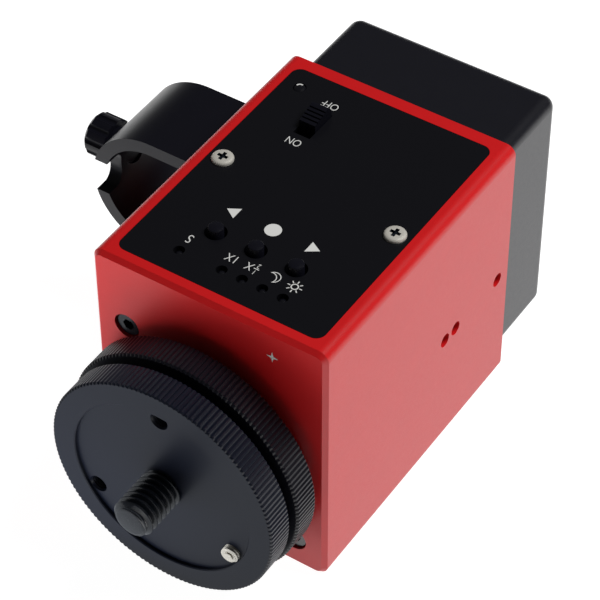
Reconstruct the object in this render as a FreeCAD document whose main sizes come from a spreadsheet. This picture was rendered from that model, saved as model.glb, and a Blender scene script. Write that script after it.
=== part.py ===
"""Star tracker: a red anodised drive box that turns a camera plate once a sidereal day.

World frame, millimetres: +X to the right seen from the camera plate, +Y from the
camera plate towards the battery box, +Z up.  The origin is the centre of the tripod
socket in the flat base.  The polar (right ascension) axis runs along Y at axis_height.
"""
import FreeCAD, Part
import math
import os
import re

import Sketcher

V = FreeCAD.Vector

DIMENSIONS = {
    # drive box
    "body_width": (58.0, "across the box, X"),
    "body_depth": (75.0, "front face to back face, Y"),
    "body_height": (68.5, "base to rim, Z"),
    "side_wall": (4.0, "left and right walls"),
    "floor_thickness": (5.0, "base wall"),
    "front_wall": (7.0, "front wall, holds the front bearing"),
    "back_wall": (6.2, "frame around the back window"),
    "body_round": (2.5, "radius of the four long edges"),
    "front_chamfer": (1.0, "bevel round the front face"),
    "boss_radius": (8.0, "boss inside the base for the tripod socket"),
    "boss_top": (10.6, "height of that boss"),
    "insert_radius": (6.0, "steel tripod insert"),
    "insert_length": (10.0, "steel tripod insert"),
    "tripod_bore": (3.97, "tapping radius of a 3/8 in thread"),
    "fit_gap": (0.02, "radial gap of seated pieces on one body"),
    "run_gap": (0.05, "radial gap of running fits"),
    "seat_gap": (0.1, "side gap of inset plates"),
    # control panel
    "panel_margin_side": (3.7, "rim left and right of the panel"),
    "panel_margin_end": (3.2, "rim in front of and behind the panel"),
    "panel_sink": (2.0, "depth of the panel's seat"),
    "panel_thickness": (2.0, "control panel, flush with the rim"),
    "panel_round": (2.4, "corner radius of the panel"),
    "panel_screw_x": (21.7, "panel screws, left and right of the middle"),
    "panel_screw_head": (2.5, "head radius of an M2.5 pan head screw"),
    "panel_screw_head_height": (0.9, "head height above the panel"),
    "small_screw_radius": (1.25, "shank of an M2.5 screw"),
    "screw_boss_depth": (8.0, "bosses under the panel's rim"),
    "button_pitch": (10.0, "between buttons"),
    "button_row": (-19.5, "Y of the buttons"),
    "button_radius": (1.75, "button stem"),
    "button_hole": (2.45, "hole in the panel round each button"),
    "button_stand": (1.65, "button top above the panel"),
    "button_travel": (0.3, "key travel"),
    "led_row": (-28.05, "Y of the mode lights"),
    "led_pitch": (5.0, "between the four right-hand lights"),
    "led_first": (-2.7, "X of the first of those four"),
    "led_alone": (-13.35, "X of the light that stands alone"),
    "led_radius": (0.95, "mode light lens"),
    "led_hole": (1.25, "hole over each mode light"),
    "power_led_x": (-20.8, "power light"),
    "power_led_y": (28.6, "power light"),
    "power_led_radius": (1.5, "power light lens"),
    "switch_x": (-11.8, "middle of the power switch"),
    "slot_front": (15.5, "Y of the front end of the switch slot"),
    "slot_length": (9.1, "switch slot"),
    "slot_width": (4.3, "switch slot"),
    "knob_length": (6.6, "switch knob, along Y"),
    "knob_stand": (3.2, "switch knob above the panel"),
    "knob_travel": (2.2, "switch knob from off to on"),
    "board_top": (60.2, "height of the circuit board's top"),
    "board_thickness": (1.6, "circuit board"),
    # polar axis
    "axis_height": (29.0, "polar axis above the base"),
    "plate_diameter": (56.0, "camera plate"),
    "plate_thickness": (6.7, "camera plate"),
    "plate_gap": (1.8, "camera plate to clutch ring"),
    "ring_diameter": (57.6, "clutch ring"),
    "ring_width": (6.9, "clutch ring"),
    "ring_gap": (3.3, "clutch ring to front face"),
    "hub_radius": (17.0, "threaded hub behind the camera plate"),
    "recess_radius": (22.2, "seat for a ball head"),
    "recess_depth": (0.9, "seat for a ball head"),
    "stud_radius": (4.7625, "3/8 in stud"),
    "stud_length": (11.8, "stud above the seat"),
    "stud_shank": (4.2, "buried end of the stud"),
    "lock_circle": (20.0, "radius of the circle of lock screw holes"),
    "lock_radius": (2.0, "M4 lock screw"),
    "lock_stand": (1.6, "how far the lock screw stands above the seat"),
    "cap_screw_offset": (20.9, "front screws from the polar axis, X and Z"),
    "cap_head_radius": (2.75, "M3 cap screw head"),
    "counterbore_radius": (3.15, "holes for those heads"),
    "counterbore_depth": (3.6, "holes for those heads"),
    "sleeve_radius": (8.5, "drive sleeve, seat of the bearings"),
    "sleeve_bore": (6.5, "drive sleeve"),
    "flange_radius": (24.0, "drive flange that the clutch grips"),
    "spindle_radius": (5.0, "polar spindle"),
    "bearing_radius": (13.0, "outside of a thin 17 x 26 x 5 bearing"),
    "bearing_width": (5.0, "same bearing"),
    "ball_radius": (1.15, "bearing balls"),
    # worm drive
    "gear_module": (0.5, "all gears"),
    "wheel_teeth": (64, "worm wheel"),
    "wheel_width": (8.0, "worm wheel"),
    "wheel_front": (-23.5, "Y of the worm wheel's front face"),
    "worm_pitch_radius": (3.5, "worm"),
    "worm_length": (22.0, "threaded part of the worm"),
    "mesh_gap": (0.12, "extra centre distance of each mesh"),
    "small_teeth": (20, "gear on the worm and pinion on the motor"),
    "idler_teeth": (32, "idler between them"),
    "gear_width": (3.0, "small gears"),
    "gear_plane": (20.0, "X of the left face of the small gears"),
    "frame_rear": (-11.5, "Y of the front of the rear bearing plate"),
    "motor_radius": (7.5, "stepper motor"),
    # polar scope clamp on the left side
    "clamp_radius": (16.5, "outside of the loop"),
    "clamp_bore": (13.25, "inside of the loop"),
    "clamp_base": (3.0, "flange against the box"),
    "clamp_front": (5.5, "Y of the loop's front face"),
    "clamp_length": (23.4, "loop along Y"),
    "clamp_height": (40.3, "Z of the loop's middle"),
    "notch_width": (9.0, "finger notch in the front of the loop"),
    "notch_depth": (6.2, "finger notch"),
    "thumb_radius": (5.3, "thumb screw knob"),
    "thumb_length": (7.0, "thumb screw knob"),
    "thumb_stand": (8.0, "thumb screw's outer face beyond the loop"),
    "thumb_shank": (2.0, "M4 thumb screw"),
    "pad_radius": (3.2, "soft pad at the thumb screw's tip"),
    "pad_thickness": (1.2, "same pad"),
    "pad_sink": (1.5, "depth of the pad's pocket at the middle of the bow"),
    # battery box on the back
    "box_width": (52.5, "battery box"),
    "box_depth": (20.7, "battery box"),
    "box_height": (62.3, "battery box"),
    "box_bottom": (5.6, "underside of the battery box above the base"),
    "box_shift": (1.45, "battery box to the right of the middle"),
    "box_screw_drop": (6.4, "battery box screws below the box's top"),
    "box_wall": (3.0, "battery box"),
    "box_front_wall": (2.0, "battery box, against the drive box"),
    "box_round": (2.8, "battery box edges"),
    "cover_thickness": (1.8, "battery cover"),
    "cell_radius": (7.1, "AA cell"),
    "cell_length": (49.5, "AA cell without its nub"),
    "cell_pitch": (15.2, "between cells"),
    # dimples in the right side
    "dimple_radius": (1.7, "accessory dimples"),
    "dimple_depth": (2.4, "accessory dimples"),
    "dimple_height": (32.4, "Z of the dimples"),
}

FRONT = "(-body_depth/2)"
BACK = "(body_depth/2)"
RING_BACK = "(-body_depth/2 - ring_gap)"
RING_FRONT = "(-body_depth/2 - ring_gap - ring_width)"
PLATE_BACK = "(-body_depth/2 - ring_gap - ring_width - plate_gap)"
PLATE_FRONT = "(-body_depth/2 - ring_gap - ring_width - plate_gap - plate_thickness)"
SEAT = "(-body_depth/2 - ring_gap - ring_width - plate_gap - plate_thickness + recess_depth)"
INNER_FRONT = "(-body_depth/2 + front_wall)"
PANEL_FLOOR = "(body_height - panel_sink)"
PANEL_TOP = "(body_height - panel_sink + panel_thickness)"
LEFT = "(-body_width/2)"
RIGHT = "(body_width/2)"
CLAMP_X = "(-body_width/2 - clamp_radius)"
THUMB_END = "(-body_width/2 - 2*clamp_radius - thumb_stand)"
CLAMP_MID = "(clamp_front + clamp_length/2)"
WHEEL_PITCH = "(wheel_teeth*gear_module/2)"
WORM_Y = "(wheel_front + wheel_width/2)"
WORM_Z = "(axis_height + wheel_teeth*gear_module/2 + worm_pitch_radius + mesh_gap)"
GEAR_STEP = "((small_teeth + idler_teeth)*gear_module/2 + mesh_gap)"
BOX_LEFT = "(box_shift - box_width/2)"
BOX_BACK = "(body_depth/2 + box_depth)"
BOX_SCREW_Z = "(box_bottom + box_height - box_screw_drop)"

doc = FreeCAD.newDocument("StarTracker")
sheet = doc.addObject("Spreadsheet::Sheet", "Dims")
PARTS = {}


def fill_sheet():
    """Write every driving dimension into the sheet and give its cell an alias."""
    for row, (alias, (value, note)) in enumerate(DIMENSIONS.items(), start=1):
        sheet.set("A%d" % row, alias)
        sheet.set("B%d" % row, str(value))
        sheet.set("C%d" % row, note)
        sheet.setAlias("B%d" % row, alias)
    doc.recompute()


def size(alias):
    """Read one dimension from the sheet."""
    return float(sheet.get(alias))


def ref(text):
    """Turn plain dimension names into references to the sheet's cells."""
    def cell(match):
        word = match.group(0)
        return "Dims." + word if word in DIMENSIONS else word
    return re.sub(r"[a-z_]+", cell, str(text))


def bind(thing, **expressions):
    """Bind properties to expressions; a double underscore stands for a dot."""
    for name, text in expressions.items():
        thing.setExpression(name.replace("__", "."), ref(text))


# ---- PartDesign helpers -------------------------------------------------------------

TURNS = {
    "Z": FreeCAD.Rotation(),
    "Y": FreeCAD.Rotation(V(1, 0, 0), -90),
    "X": FreeCAD.Rotation(V(0, 1, 0), 90),
}


def place(thing, x="0", y="0", z="0", axis="Z"):
    """Put an object's local origin at x, y, z and its local Z along the given axis."""
    thing.Placement = FreeCAD.Placement(V(), TURNS[axis])
    bind(thing, Placement__Base__x=x, Placement__Base__y=y, Placement__Base__z=z)
    return thing


def new_body(name, x="0", y="0", z="0", axis="Z"):
    """A PartDesign body for one node."""
    body = doc.addObject("PartDesign::Body", name)
    PARTS[name] = place(body, x, y, z, axis)
    return body


def sketch_on(body, role, offset="0"):
    """A sketch on one of the body's own origin planes, moved along its normal."""
    sketch = body.newObject("Sketcher::SketchObject", body.Name + "_sketch")
    plane = [item for item in body.Origin.OriginFeatures if item.Role == role][0]
    sketch.AttachmentSupport = [(plane, "")]
    sketch.MapMode = "FlatFace"
    bind(sketch, AttachmentOffset__Base__z=offset)
    return sketch


def pin_point(sketch, index, end, x, y):
    """Fix one point of a sketch at x, y from its origin."""
    for kind, text in (("DistanceX", x), ("DistanceY", y)):
        number = sketch.addConstraint(Sketcher.Constraint(kind, -1, 1, index, end, 1.0))
        sketch.setExpression("Constraints[%d]" % number, ref(text))


def draw_outline(sketch, points):
    """Closed outline of straight lines through points given as pairs of expressions."""
    count = len(points)
    first = len(sketch.Geometry)
    for step in range(count):
        here = 2 * math.pi * step / count
        there = 2 * math.pi * (step + 1) / count
        line = Part.LineSegment(V(math.cos(here), math.sin(here), 0),
                                V(math.cos(there), math.sin(there), 0))
        sketch.addGeometry(line, False)
    for step in range(count):
        joint = Sketcher.Constraint("Coincident", first + step, 2, first + (step + 1) % count, 1)
        sketch.addConstraint(joint)
    for step, (x, y) in enumerate(points):
        pin_point(sketch, first + step, 1, x, y)
    return sketch


def draw_rectangle(sketch, left, low, right, high):
    """Rectangle between two corners."""
    return draw_outline(sketch, [(left, low), (right, low), (right, high), (left, high)])


def draw_circle(sketch, radius, x="0", y="0"):
    """Circle with its centre at x, y."""
    index = sketch.addGeometry(Part.Circle(V(1, 1, 0), V(0, 0, 1), 1.0), False)
    number = sketch.addConstraint(Sketcher.Constraint("Radius", index, 1.0))
    sketch.setExpression("Constraints[%d]" % number, ref(radius))
    pin_point(sketch, index, 3, x, y)
    return sketch


def pad(body, sketch, length, reverse=False):
    """Pad a sketch along its plane's normal, or against it."""
    feature = body.newObject("PartDesign::Pad", body.Name + "_pad")
    feature.Profile = sketch
    feature.Reversed = reverse
    bind(feature, Length=length)
    return feature


def pocket(body, sketch, length=None, reverse=False):
    """Pocket a sketch; with no length it cuts through all."""
    feature = body.newObject("PartDesign::Pocket", body.Name + "_pocket")
    feature.Profile = sketch
    feature.Reversed = reverse
    if length is None:
        feature.Type = 1
    else:
        bind(feature, Length=length)
    return feature


def turn_outline(body, points):
    """Revolve a closed outline of (radius, height) pairs about the body's local Z."""
    sketch = draw_outline(sketch_on(body, "XZ_Plane"), points)
    feature = body.newObject("PartDesign::Revolution", body.Name + "_turned")
    feature.Profile = sketch
    feature.ReferenceAxis = (sketch, ["V_Axis"])
    feature.Angle = 360
    return feature


def repeat_round(body, features, count):
    """Repeat features evenly about the body's local Z."""
    pattern = body.newObject("PartDesign::PolarPattern", body.Name + "_pattern")
    pattern.Originals = features
    axis = [item for item in body.Origin.OriginFeatures if item.Role == "Z_Axis"][0]
    pattern.Axis = (axis, [""])
    pattern.Angle = 360
    pattern.Occurrences = count
    body.Tip = pattern
    return pattern


def soften(body, kind, amount, picks):
    """Fillet or chamfer the edges of the body's tip that the test picks."""
    doc.recompute()
    base = body.Tip
    names = ["Edge%d" % (number + 1) for number, edge in enumerate(base.Shape.Edges) if picks(edge)]
    feature = body.newObject("PartDesign::" + kind, body.Name + "_" + kind.lower())
    feature.Base = (base, names)
    bind(feature, **{"Radius" if kind == "Fillet" else "Size": amount})
    return feature


def runs_along(edge, direction):
    """True for a straight edge parallel to a direction."""
    if not isinstance(edge.Curve, Part.Line):
        return False
    return edge.Curve.Direction.cross(direction).Length < 1e-6


def lies_on(edge, axis, level):
    """True for an edge that lies wholly in the plane axis = level."""
    box = edge.BoundBox
    low, high = {"x": (box.XMin, box.XMax), "y": (box.YMin, box.YMax), "z": (box.ZMin, box.ZMax)}[axis]
    return abs(low - level) < 1e-4 and abs(high - level) < 1e-4


# ---- Part primitive helpers ---------------------------------------------------------

def box(name, corner, sides, at=("0", "0", "0")):
    """Part::Box from a corner and three side lengths, moved by an offset."""
    thing = doc.addObject("Part::Box", name)
    bind(thing, Length=sides[0], Width=sides[1], Height=sides[2])
    place(thing, *["(%s) + (%s)" % pair for pair in zip(corner, at)])
    return thing


def rod(name, radius, length, x="0", y="0", z="0", axis="Z"):
    """Part::Cylinder that starts at x, y, z and runs along an axis."""
    thing = doc.addObject("Part::Cylinder", name)
    bind(thing, Radius=radius, Height=length)
    return place(thing, x, y, z, axis)


def join(name, pieces):
    """Fuse overlapping primitives into one solid."""
    thing = doc.addObject("Part::MultiFuse", name)
    thing.Shapes = pieces
    thing.Refine = True
    return thing


def cut(name, base, tools):
    """Cut one or more primitives from a base."""
    thing = doc.addObject("Part::Cut", name)
    thing.Base = base
    thing.Tool = tools[0] if len(tools) == 1 else join(name + "_tools", tools)
    return thing


def gather(name, pieces):
    """Keep several separate solids in one node."""
    thing = doc.addObject("Part::Compound", name)
    thing.Links = pieces
    PARTS[name] = thing
    return thing


def node(name, thing):
    """Register a finished primitive as a node."""
    PARTS[name] = thing
    return thing


def tube(name, outer, inner, length, x="0", y="0", z="0", axis="Z"):
    """Round tube that starts at x, y, z and runs along an axis."""
    return cut(name, rod(name + "_outer", outer, length, x, y, z, axis),
               [rod(name + "_bore", inner, length, x, y, z, axis)])


def screw(name, head, head_height, shank, length, seat, axis, way):
    """Screw whose head sits at seat and whose shank runs along the axis, way +1 or -1."""
    index = "XYZ".index(axis)
    shank_at = list(seat)
    head_at = list(seat)
    if way > 0:
        head_at[index] = "(%s) - (%s)" % (seat[index], head_height)
    else:
        shank_at[index] = "(%s) - (%s)" % (seat[index], length)
    return join(name, [rod(name + "_shank", shank, length, *shank_at, axis),
                       rod(name + "_head", head, head_height, *head_at, axis)])


# ---- drive box ----------------------------------------------------------------------

def make_main_housing():
    """Milled aluminium box, open at the top for the panel and with a window at the back."""
    body = new_body("main_housing")
    outline = draw_rectangle(sketch_on(body, "XY_Plane"), LEFT, FRONT, RIGHT, BACK)
    pad(body, outline, "body_height")
    half = size("body_width") / 2
    soften(body, "Fillet", "body_round",
           lambda e: runs_along(e, V(0, 1, 0)) and abs(abs(e.BoundBox.Center.x) - half) < 1e-4)
    soften(body, "Chamfer", "front_chamfer", lambda e: lies_on(e, "y", -size("body_depth") / 2))
    inner = ("(body_width/2 - side_wall)", "(body_depth/2 - back_wall)")
    cavity = sketch_on(body, "XY_Plane", "floor_thickness")
    draw_rectangle(cavity, "-" + inner[0], INNER_FRONT, inner[0], inner[1])
    pocket(body, cavity, None, reverse=True)
    seat = sketch_on(body, "XY_Plane", PANEL_FLOOR)
    draw_rectangle(seat, "-(body_width/2 - panel_margin_side)", "-(body_depth/2 - panel_margin_end)",
                   "body_width/2 - panel_margin_side", "body_depth/2 - panel_margin_end")
    pocket(body, seat, None, reverse=True)
    corner = size("body_width") / 2 - size("panel_margin_side")
    level = size("body_height") - size("panel_sink") / 2
    soften(body, "Fillet", "panel_round",
           lambda e: runs_along(e, V(0, 0, 1)) and abs(abs(e.BoundBox.Center.x) - corner) < 1e-4
           and abs(e.BoundBox.Center.z - level) < 1e-4)
    bosses = sketch_on(body, "XY_Plane", PANEL_FLOOR + " - screw_boss_depth")
    for side in ("", "-"):
        draw_rectangle(bosses, side + "(panel_screw_x - 3)", "-3", side + "(body_width/2 - side_wall + 1)", "3")
    pad(body, bosses, "screw_boss_depth")
    floor_boss = draw_circle(sketch_on(body, "XY_Plane", "floor_thickness - 1"), "boss_radius")
    pad(body, floor_boss, "boss_top - floor_thickness + 1")
    socket = draw_circle(sketch_on(body, "XY_Plane"), "insert_radius + fit_gap")
    pocket(body, socket, "insert_length", reverse=True)
    cut_front_wall(body)
    cut_back_wall(body)
    cut_screw_holes(body)
    cut_dimples(body)


def cut_front_wall(body):
    """Bearing pocket, shaft hole and the two counterbored holes of the front wall."""
    bore = sketch_on(body, "XZ_Plane", "-(%s)" % INNER_FRONT)
    draw_circle(bore, "bearing_radius + fit_gap", "0", "axis_height")
    pocket(body, bore, "bearing_width", reverse=True)
    lip = sketch_on(body, "XZ_Plane", "-(%s)" % FRONT)
    draw_circle(lip, "bearing_radius - 3", "0", "axis_height")
    pocket(body, lip, "front_wall")
    for radius, depth in (("counterbore_radius", "counterbore_depth"), ("1.7", "front_wall")):
        holes = sketch_on(body, "XZ_Plane", "-(%s)" % FRONT)
        for across, up in CAP_SCREWS:
            draw_circle(holes, radius, across, up)
        pocket(body, holes, depth)


def cut_back_wall(body):
    """Window in the back wall, and the seat of the plate that closes it."""
    seat = sketch_on(body, "XZ_Plane", "-(%s)" % BACK)
    draw_rectangle(seat, "-24", "6.5", "24", BOX_SCREW_Z + " - 3.5")
    pocket(body, seat, "2.5", reverse=True)
    window = sketch_on(body, "XZ_Plane", "-(%s)" % BACK)
    draw_rectangle(window, "-19.5", "11", "19.5", BOX_SCREW_Z + " - 8")
    pocket(body, window, "back_wall", reverse=True)


def cut_screw_holes(body):
    """Tapped holes for the panel, rear plate, battery box and clamp screws."""
    panel = sketch_on(body, "XY_Plane", PANEL_FLOOR)
    for side in ("", "-"):
        draw_circle(panel, "small_screw_radius + fit_gap", side + "panel_screw_x")
    pocket(body, panel, "screw_boss_depth - 1")
    plate = sketch_on(body, "XZ_Plane", "-(%s - 2.5)" % BACK)
    for across, up in PLATE_SCREWS:
        draw_circle(plate, "1 + fit_gap", across, up)
    pocket(body, plate, "3.2", reverse=True)
    battery = sketch_on(body, "XZ_Plane", "-(%s)" % BACK)
    for across in BOX_SCREWS:
        draw_circle(battery, "1.5 + fit_gap", across, BOX_SCREW_Z)
    pocket(body, battery, "5", reverse=True)
    clamp = sketch_on(body, "YZ_Plane", LEFT)
    for up in CLAMP_SCREWS:
        draw_circle(clamp, "1.5 + fit_gap", CLAMP_MID, up)
    pocket(body, clamp, "side_wall", reverse=True)


def cut_dimples(body):
    """Three blind dimples in the right side."""
    dimples = sketch_on(body, "YZ_Plane", RIGHT)
    for along in DIMPLES:
        draw_circle(dimples, "dimple_radius", along, "dimple_height")
    pocket(body, dimples, "dimple_depth")


def make_rear_plate():
    """Black plate that closes the window behind the battery box."""
    body = new_body("rear_plate")
    face = sketch_on(body, "XZ_Plane", "-(%s)" % BACK)
    draw_rectangle(face, "-24 + seat_gap", "6.5 + seat_gap", "24 - seat_gap", BOX_SCREW_Z + " - 3.5 - seat_gap")
    pad(body, face, "2.5")
    for radius, depth in (("1.9", "1.3"), ("1.05", "2.5")):
        holes = sketch_on(body, "XZ_Plane", "-(%s)" % BACK)
        for across, up in PLATE_SCREWS:
            draw_circle(holes, radius, across, up)
        pocket(body, holes, depth, reverse=True)
    gather("rear_plate_screws", [
        screw("rear_plate_screw_%d" % n, "1.8", "1.2", "1", "4.2", (across, BACK + " - 1.3", up), "Y", -1)
        for n, (across, up) in enumerate(PLATE_SCREWS)])


def make_tripod_insert():
    """Steel insert in the base with the tapped hole for a tripod."""
    node("tripod_insert", tube("tripod_insert", "insert_radius", "tripod_bore", "insert_length"))


# ---- control panel ------------------------------------------------------------------

def make_control_panel():
    """Glossy black panel with its holes for buttons, lights, switch and screws."""
    body = new_body("control_panel")
    face = sketch_on(body, "XY_Plane", PANEL_FLOOR)
    draw_rectangle(face, "-(body_width/2 - panel_margin_side - seat_gap)",
                   "-(body_depth/2 - panel_margin_end - seat_gap)",
                   "body_width/2 - panel_margin_side - seat_gap",
                   "body_depth/2 - panel_margin_end - seat_gap")
    pad(body, face, "panel_thickness")
    soften(body, "Fillet", "panel_round - seat_gap", lambda e: runs_along(e, V(0, 0, 1)))
    holes = sketch_on(body, "XY_Plane", PANEL_TOP)
    for across in BUTTONS:
        draw_circle(holes, "button_hole", across, "button_row")
    for across in LEDS:
        draw_circle(holes, "led_hole", across, "led_row")
    draw_circle(holes, "power_led_radius + fit_gap", "power_led_x", "power_led_y")
    for side in ("", "-"):
        draw_circle(holes, "small_screw_radius + fit_gap", side + "panel_screw_x")
    draw_rectangle(holes, "switch_x - slot_width/2", "slot_front", "switch_x + slot_width/2",
                   "slot_front + slot_length")
    pocket(body, holes, "panel_thickness")


def make_panel_screws():
    """Two pan head screws that hold the panel."""
    gather("panel_screws", [
        screw("panel_screw_" + word, "panel_screw_head", "panel_screw_head_height", "small_screw_radius",
              "panel_thickness + screw_boss_depth - 2", (side + "panel_screw_x", "0", PANEL_TOP), "Z", -1)
        for word, side in (("right", ""), ("left", "-"))])


def make_buttons():
    """Three round keys, each with the switch below it."""
    switches = []
    for word, across in zip(("left", "middle", "right"), BUTTONS):
        key = rod("button_" + word, "button_radius", "%s + button_stand - board_top - 2.4" % PANEL_TOP,
                  across, "button_row", "board_top + 2.4")
        node("button_" + word, key)
        name = "key_switch_" + word
        case = box(name + "_case", (across + " - 3", "button_row - 3", "board_top"), ("6", "6", "3.5"))
        well = rod(name + "_well", "button_radius + 0.1", "1.5", across, "button_row", "board_top + 2")
        switches.append(cut(name, case, [well]))
    gather("key_switches", switches)


def make_circuit_board():
    """Board that hangs under the panel, with its standoffs, chips and lights."""
    left = "-(body_width/2 - side_wall - 3)"
    board = box("board_sheet", (left, INNER_FRONT + " + 0.5", "board_top - board_thickness"),
                ("body_width - 2*side_wall - 6", "body_depth - front_wall - back_wall - 1", "board_thickness"))
    wide = "(body_width/2 - side_wall - panel_screw_x + 3.5)"
    notches = [box("board_notch_" + word, (at, "-4", "board_top - board_thickness"),
                   (wide, "8", "board_thickness"))
               for word, at in (("right", "panel_screw_x - 3.5"), ("left", "-(body_width/2 - side_wall)"))]
    node("circuit_board", cut("circuit_board", board, notches))
    corners = [(x, y) for x in ("-17", "17") for y in ("-25.5", "27")]
    gather("board_standoffs", [
        rod("board_standoff_%d" % n, "2", "%s - board_top" % PANEL_FLOOR, x, y, "board_top")
        for n, (x, y) in enumerate(corners) if n != 0])
    chips = (("5", "-12", "10", "10", "1.2"), ("-6", "2", "7", "9", "1.6"), ("4", "14", "12", "5", "2.4"),
             ("-20", "8", "4", "6", "1.0"))
    gather("board_chips", [
        box("board_chip_%d" % n, (x, y, "board_top"), (wide, deep, tall))
        for n, (x, y, wide, deep, tall) in enumerate(chips)])


def make_lights():
    """Five mode lights deep in their holes and the larger power light."""
    lights = []
    for n, across in enumerate(LEDS):
        lens = rod("mode_led_%d" % n, "led_radius", "%s - 0.7 - board_top" % PANEL_TOP, across, "led_row",
                   "board_top")
        lights.append(lens)
    gather("mode_leds", lights)
    node("power_led", rod("power_led", "power_led_radius", "%s + 0.3 - board_top" % PANEL_TOP,
                          "power_led_x", "power_led_y", "board_top"))


def make_power_switch():
    """Slide switch on the board with its ribbed knob at the rear, off, end of the slot."""
    case = box("power_switch_case", ("switch_x - 3.4", "slot_front - 1.5", "board_top"),
               ("6.8", "slot_length + 3", "%s - board_top - 0.4" % PANEL_FLOOR))
    well = box("power_switch_well", ("switch_x - slot_width/2", "slot_front", "board_top + 1.4"),
               ("slot_width", "slot_length", "%s - board_top" % PANEL_FLOOR))
    node("power_switch_body", cut("power_switch_body", case, [well]))
    body = new_body("power_switch_knob")
    rear = "(slot_front + slot_length - 0.2)"
    front = "(%s - knob_length)" % rear
    top = "(%s + knob_stand)" % PANEL_TOP
    outline = sketch_on(body, "YZ_Plane", "switch_x - slot_width/2 + 0.1")
    low = "board_top + 1.6"
    draw_outline(outline, [(front, low), (rear, low), (rear, top + " - 1.3"), (rear + " - 1.2", top),
                           (rear + " - 1.7", top), (front, top + " - 1.3")])
    pad(body, outline, "slot_width - 0.2")
    grooves = sketch_on(body, "YZ_Plane", "switch_x - slot_width/2 + 0.1")
    for step in ("0.8", "1.8", "2.8", "3.8"):
        foot = "%s - 1.6 + 1.3*%s/(knob_length - 1.7)" % (top, step)
        draw_rectangle(grooves, "%s + %s" % (front, step), foot, "%s + %s + 0.35" % (front, step), top)
    pocket(body, grooves, "slot_width - 0.2", reverse=True)


# ---- polar axis ---------------------------------------------------------------------

def turned(name, points):
    """Piece turned about the polar axis; heights of its outline are world Y."""
    body = new_body(name, "0", "0", "axis_height", "Y")
    turn_outline(body, points)
    return body


def make_camera_plate():
    """Camera plate with its seat, lock screw holes and the threaded hub behind it."""
    bore = "stud_shank + fit_gap"
    rear_bore = "spindle_radius + fit_gap"
    shoulder = "(%s + 4.5)" % SEAT
    body = turned("camera_plate", [
        (bore, SEAT), ("recess_radius", SEAT), ("recess_radius", PLATE_FRONT),
        ("plate_diameter/2 - 0.35", PLATE_FRONT), ("plate_diameter/2", PLATE_FRONT + " + 0.35"),
        ("plate_diameter/2", PLATE_BACK + " - 0.35"), ("plate_diameter/2 - 0.35", PLATE_BACK),
        ("hub_radius", PLATE_BACK), ("hub_radius", HUB_BACK), (rear_bore, HUB_BACK),
        (rear_bore, shoulder), (bore, shoulder)])
    hole = draw_circle(sketch_on(body, "XY_Plane", SEAT), "lock_radius + fit_gap", "0", "-lock_circle")
    drilled = pocket(body, hole, "plate_thickness - recess_depth", reverse=True)
    repeat_round(body, [drilled], 3)


def make_plate_fittings():
    """Stud for the ball head, and the one lock screw that is fitted."""
    tip = "(%s - stud_length)" % SEAT
    turned("ball_head_stud", [("0", tip), ("stud_radius - 1", tip), ("stud_radius", tip + " + 1"),
                              ("stud_radius", SEAT), ("stud_shank", SEAT),
                              ("stud_shank", SEAT + " + 4.4"), ("0", SEAT + " + 4.4")])
    across = "lock_circle*cos(30)"
    up = "axis_height - lock_circle*sin(30)"
    start = "%s - lock_stand" % SEAT
    grub = rod("lock_screw_shank", "lock_radius", "lock_stand + 4.6", across, start, up, "Y")
    hexagon = doc.addObject("Part::Prism", "lock_screw_socket")
    hexagon.Polygon = 6
    bind(hexagon, Circumradius="1.15", Height="1.8")
    place(hexagon, across, start, up, "Y")
    node("lock_screw", cut("lock_screw", grub, [hexagon]))


def make_clutch():
    """Knurled ring on the hub's thread and the washer that it squeezes."""
    rim = "ring_diameter/2"
    turned("clutch_ring", [
        ("hub_radius + run_gap", RING_FRONT), (rim + " - 0.45", RING_FRONT), (rim, RING_FRONT + " + 0.45"),
        (rim, RING_BACK + " - 0.45"), (rim + " - 0.45", RING_BACK), ("hub_radius + run_gap", RING_BACK)])
    node("clutch_washer", tube("clutch_washer", "hub_radius - 1", "sleeve_radius + 0.5", "0.35",
                               "0", HUB_BACK, "axis_height", "Y"))


def make_spindle():
    """Polar spindle pressed in the camera plate, with its spring washer and nut."""
    turned("polar_spindle", [("0", SEAT + " + 4.6"), ("spindle_radius", SEAT + " + 4.6"),
                             ("spindle_radius", SLEEVE_END + " + 7.4"),
                             ("spindle_radius - 0.6", SLEEVE_END + " + 8"), ("0", SLEEVE_END + " + 8")])
    node("spring_washer", tube("spring_washer", "sleeve_radius - 0.5", "spindle_radius + fit_gap", "1",
                               "0", SLEEVE_END + " + 0.1", "axis_height", "Y"))
    flats = doc.addObject("Part::Prism", "spindle_nut_flats")
    flats.Polygon = 6
    bind(flats, Circumradius="9.2", Height="5")
    place(flats, "0", SLEEVE_END + " + 1.2", "axis_height", "Y")
    bore = rod("spindle_nut_bore", "spindle_radius + fit_gap", "5", "0", SLEEVE_END + " + 1.2",
               "axis_height", "Y")
    node("spindle_nut", cut("spindle_nut", flats, [bore]))


def make_drive_sleeve():
    """Hollow drive sleeve with the flange for the clutch, and two bronze bushes."""
    turned("drive_sleeve", [
        ("sleeve_bore", FLANGE_FRONT), ("flange_radius", FLANGE_FRONT), ("flange_radius", FLANGE_BACK),
        ("sleeve_radius", FLANGE_BACK), ("sleeve_radius", SLEEVE_END), ("sleeve_bore", SLEEVE_END)])
    gather("spindle_bushes", [
        tube("spindle_bush_" + word, "sleeve_bore - fit_gap", "spindle_radius + run_gap", "8",
             "0", start, "axis_height", "Y")
        for word, start in (("front", FLANGE_FRONT + " + 0.1"), ("rear", SLEEVE_END + " - 8.1"))])


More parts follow.
